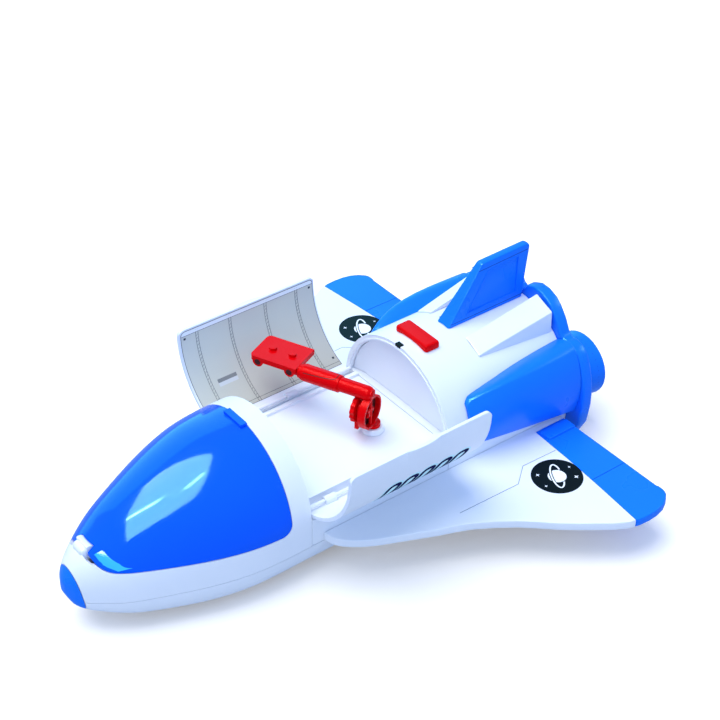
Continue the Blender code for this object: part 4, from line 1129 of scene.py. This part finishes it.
def make_door_lips():
    """Thumb lips on the outside of the doors' top edges."""
    for name, side in SIDES:
        inside = door_surface(side, BODY_RADIUS - LIP_FOOT)

        def raised(y, arc):
            swell = max(0.0, cos(pi / 2 * min(1.0, abs(y) / LIP_HALF))) ** LIP_ROUND
            rise = min(1.0, max(0.0, (arc - LIP_ARC) / LIP_RISE))
            lift = LIP_HEIGHT * swell * rise ** LIP_SLOPE - LIP_SINK
            return door_surface(side, BODY_RADIUS + lift)(y, arc)
        ys = [LIP_HALF * i / LIP_STEPS for i in range(-LIP_STEPS, LIP_STEPS + 1)]
        arcs = [LIP_ARC + LIP_REACH * i / LIP_ROWS for i in range(LIP_ROWS + 1)]
        work = bmesh.new()
        slab(work, inside, raised, [[(y, arc) for y in ys] for arc in arcs])
        settle(add_work(name + "_door_lip", work, WHITE_SHELL, name + "_bay_door"))


def make_hinge_saddle():
    """The rounded seat under the canopy's hinge."""
    y, z = CANOPY_HINGE
    (front, low), (rear, high) = mm_points(SADDLE)
    saddle = block_mesh("hinge_saddle", (-HINGE_HALF, y + front, z + low), (HINGE_HALF, y + rear, z + high))
    piece = add_piece(saddle, WHITE_SHELL)
    settle(soften(piece, SADDLE_EDGE, segments=6))


def make_canopy_highlight():
    """A painted highlight: the canopy's paler cyan corner beside its hinge."""
    work = bmesh.new()
    outline = [(y * MM, radians(turn)) for y, turn in CANOPY_HIGHLIGHT_OUTLINE]
    shape(work, *(nose_surface(lift) for lift in HIGHLIGHT_LIFTS), outline)
    settle(add_work("canopy_highlight_patch", work, CANOPY_HIGHLIGHT_CYAN, "canopy_lid"))


def make_latch_shade():
    """A black block of painted shade filling the latch slot."""
    crown = BODY_AXIS_Z + BODY_RADIUS
    (x0, y0, z0), (x1, y1, z1) = mm_points(LATCH_SLOT_SHADE)
    insert = block_mesh("latch_slot_shade", (x0, y0, crown + z0), (x1, y1, crown + z1))
    settle(soften(add_piece(insert, DARK_PRINT_AND_SHADE), LATCH_EDGE))


def fin_side(side, lift):
    """One side of the fin at a height above it."""
    def place(y, z):
        share = (z - FIN_ROOT_Z) / FIN_HEIGHT
        return (side * (FIN_HALF - FIN_TAPER * share + lift), y, z)
    return place


def make_fin_lines():
    """Lines along the fin's skirt and tip, and the bead around its sunk panels."""
    for name, side in SIDES:
        low, skin, raised = (fin_side(side, lift) for lift in (LINE_SINK, LINE_LIFT, FIN_BEAD_LIFT))
        lines, bead = bmesh.new(), bmesh.new()
        for points in FIN_LINES:
            stroke(lines, low, skin, mm_points(points), THIN_LINE)
        add_work(name + "_fin_lines", lines, SEAM_BLUE)
        stroke(bead, low, raised, mm_points(FIN_PANEL), FIN_BEAD_WIDTH, closed=True)
        settle(add_work(name + "_fin_bead", bead, BLUE_SHELL))


def make_bulkhead_bead():
    """A bead around the rear bulkhead's arch."""
    angles = [pi * i / BEAD_STEPS for i in range(BEAD_STEPS + 1)]
    arch = [(BEAD_RADIUS * cos(angle), BODY_AXIS_Z + BEAD_RADIUS * sin(angle)) for angle in angles]
    arc = [point for point in arch if point[1] > BEAD_LOW_Z]
    work = bmesh.new()
    stroke(work, *(upright(y) for y in BEAD_Y), arc, BEAD_WIDTH)
    piece = add_work("bulkhead_bead", work, WHITE_SHELL)
    settle(soften(piece, BEAD_EDGE))


# Rings around and inside a nozzle, as profiles about its axis
NOZZLE_RINGS = (
    ("step_low", ((13.6, 8.0), (12.3, 8.0), (12.3, 9.2), (13.9, 9.2)), BLUE_SHELL),
    ("step_high", ((15.6, 16.0), (14.7, 16.0), (14.7, 17.2), (15.9, 17.2)), BLUE_SHELL),
    ("floor", ((12.9, 1.8), (9.3, 1.8), (9.3, 2.5), (13.0, 2.5)), GREY_SHELL),
    ("bezel", ((10.9, 2.3), (9.3, 2.3), (9.3, 4.4), (10.3, 4.4)), WHITE_SHELL),
    ("band_low", ((15.6, 6.0), (15.0, 6.0), (15.0, 6.7), (15.8, 6.7)), SEAM_BLUE),
    ("band_high", ((19.2, 24.4), (18.6, 24.4), (18.6, 25.1), (19.35, 25.1)), SEAM_BLUE),
)


def make_nozzle_details():
    """Steps, vanes and lamp bezels inside the nozzles, and bands around them."""
    for name, side in SIDES:
        place = placed(mm_points([NOZZLE_SEAT], side)[0], -pi / 2, "X")
        for part, profile, material in NOZZLE_RINGS:
            settle(add_turned(f"{name}_nozzle_{part}", profile, place, material, steps=56))
        for i in range(VANES):
            vane = block_mesh(f"{name}_nozzle_vane_{i:02}", mm(*VANE_LOW), mm(*VANE_HIGH))
            vane.transform(place @ Matrix.Rotation(2 * pi * i / VANES, 4, "Z"))
            settle(soften(add_piece(vane, GREY_SHELL), VANE_EDGE))


def screw(name, place):
    """A sunk screw: a shaded well, a steel head and a dark cross of painted shade on it."""
    add_turned(name + "_well", SCREW_WELL, place, SEAM_SHADE, steps=32)
    settle(add_turned(name + "_head", SCREW_HEAD, place, STEEL, steps=32))

    def over(height):
        return lambda x, y: place @ Vector((x, y, height))
    work = bmesh.new()
    reach, half = SCREW_CROSS
    for u, v in ((reach, half), (half, reach)):
        panel(work, *(over(height) for height in SCREW_CROSS_HEIGHTS), box(-u, -v, u, v))
    add_work(name + "_cross_shade", work, DARK_PRINT_AND_SHADE)


def make_tail_details():
    """Screws, a hatch line and vents on the tail plate; the vents are flat patches of painted shade."""
    for i, (x, z) in enumerate(TAIL_SCREWS):
        screw(f"tail_screw_{i}", placed((x * MM, TAIL_Y, z * MM), -pi / 2, "X"))
    skins = [upright(TAIL_Y + lift) for lift in (LINE_SINK, LINE_LIFT)]
    work = bmesh.new()
    stroke(work, *skins, rim(rounded_bar(*mm(0, *HATCH))), THIN_LINE, closed=True)
    for x in VENT_XS:
        slab(work, *skins, rounded_bar(*mm(x, *VENT)))
    add_work("tail_lines", work, SEAM_SHADE)


def make_belly_details():
    """Battery door, speaker slots and screws under the fuselage; the slots are flat patches of painted
    shade.
    """
    skins = [level(BELLY_Z + lift) for lift in BELLY_LIFTS]
    work = bmesh.new()
    stroke(work, *skins, rim(rounded_bar(*mm(0, *BATTERY_DOOR))), BATTERY_LINE, closed=True)
    stroke(work, *skins, mm_points(BATTERY_ARROW), ARROW_LINE)
    for y, width in SPEAKER_SLOTS:
        slab(work, *skins, rounded_bar(*mm(0, y, width, *SLOT_SHAPE)))
    add_work("belly_lines", work, SEAM_SHADE)
    for i, (x, y) in enumerate(BELLY_SCREWS):
        screw(f"belly_screw_{i}", placed((x * MM, y * MM, BELLY_Z), pi, "X"))


def make_wheel_details():
    """Hub caps on the wheels' outer faces."""
    for name, x, y, half, body, sides in WHEELS:
        for side in sides:
            place = placed(mm(x + side * half, y, WHEEL_Z), side * pi / 2, "Y")
            end = "port" if side > 0 else "starboard"
            settle(add_turned(f"{name}_hub_{end}", CAP_PROFILE, place, GREY_SHELL, body, steps=40))


def make_seat_details():
    """Straps, a headrest and a pad on the seat."""
    low_z, high_z = STRAP_Z
    strap = bmesh.new()
    for x in STRAP_XS:
        corners = mm_points(box(x - STRAP_HALF, low_z, x + STRAP_HALF, high_z))
        panel(strap, *(upright(y) for y in STRAP_Y), corners)
    add_work("seat_straps", strap, NAVY_PRINT)
    for name, (low, high), width, segments in PADS:
        pad = add_piece(block_mesh(name, mm(*low), mm(*high)), GREY_SHELL)
        settle(soften(pad, width, segments=segments))


def make_console_details():
    """A screen with lines, and knobs, on the console's sloping face."""
    base, top = Vector(CONSOLE_BASE) * MM, Vector(CONSOLE_TOP) * MM
    rise = (top - base).normalized()
    out = rise.cross(Vector((-1, 0, 0)))

    def face(lift):
        return lambda x, v: base + rise * v + out * lift + Vector((x, 0, 0))
    screen, glow = bmesh.new(), bmesh.new()
    slab(screen, *(face(lift) for lift in SCREEN_LIFTS), rounded_bar(*mm(0, *SCREEN)))
    start, thickness = SCREEN_LINE
    for v, end in SCREEN_LINES:
        panel(glow, *(face(lift) for lift in GLOW_LIFTS), mm_points(box(start, v, end, v + thickness)))
    add_work("console_screen", screen, DARK_PRINT_AND_SHADE)
    add_work("console_lines", glow, ICE_PRINT)

    turn = Matrix((Vector((1, 0, 0)), rise, out)).transposed().to_4x4()
    for i, (x, material) in enumerate(KNOBS):
        place = Matrix.Translation(base + rise * KNOB_ROW + Vector(mm(x, 0, 0))) @ turn
        settle(add_turned(f"console_knob_{i}", KNOB_PROFILE, place, material, steps=24))


make_stage()
make_canopy()
make_wings()
make_arm()
DRESSED = {node for piece in bpy.data.objects for node in piece.get("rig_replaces", [])}
for node in sorted(set(frame["nodes"]) - DRESSED):
    dress(node)
make_bay_print()
make_door_bars()
make_door_lips()
make_hinge_saddle()
make_canopy_highlight()
make_latch_shade()
make_wing_discs()
make_fin_lines()
make_bulkhead_bead()
make_nozzle_details()
make_tail_details()
make_belly_details()
make_wheel_details()
make_seat_details()
make_console_details()
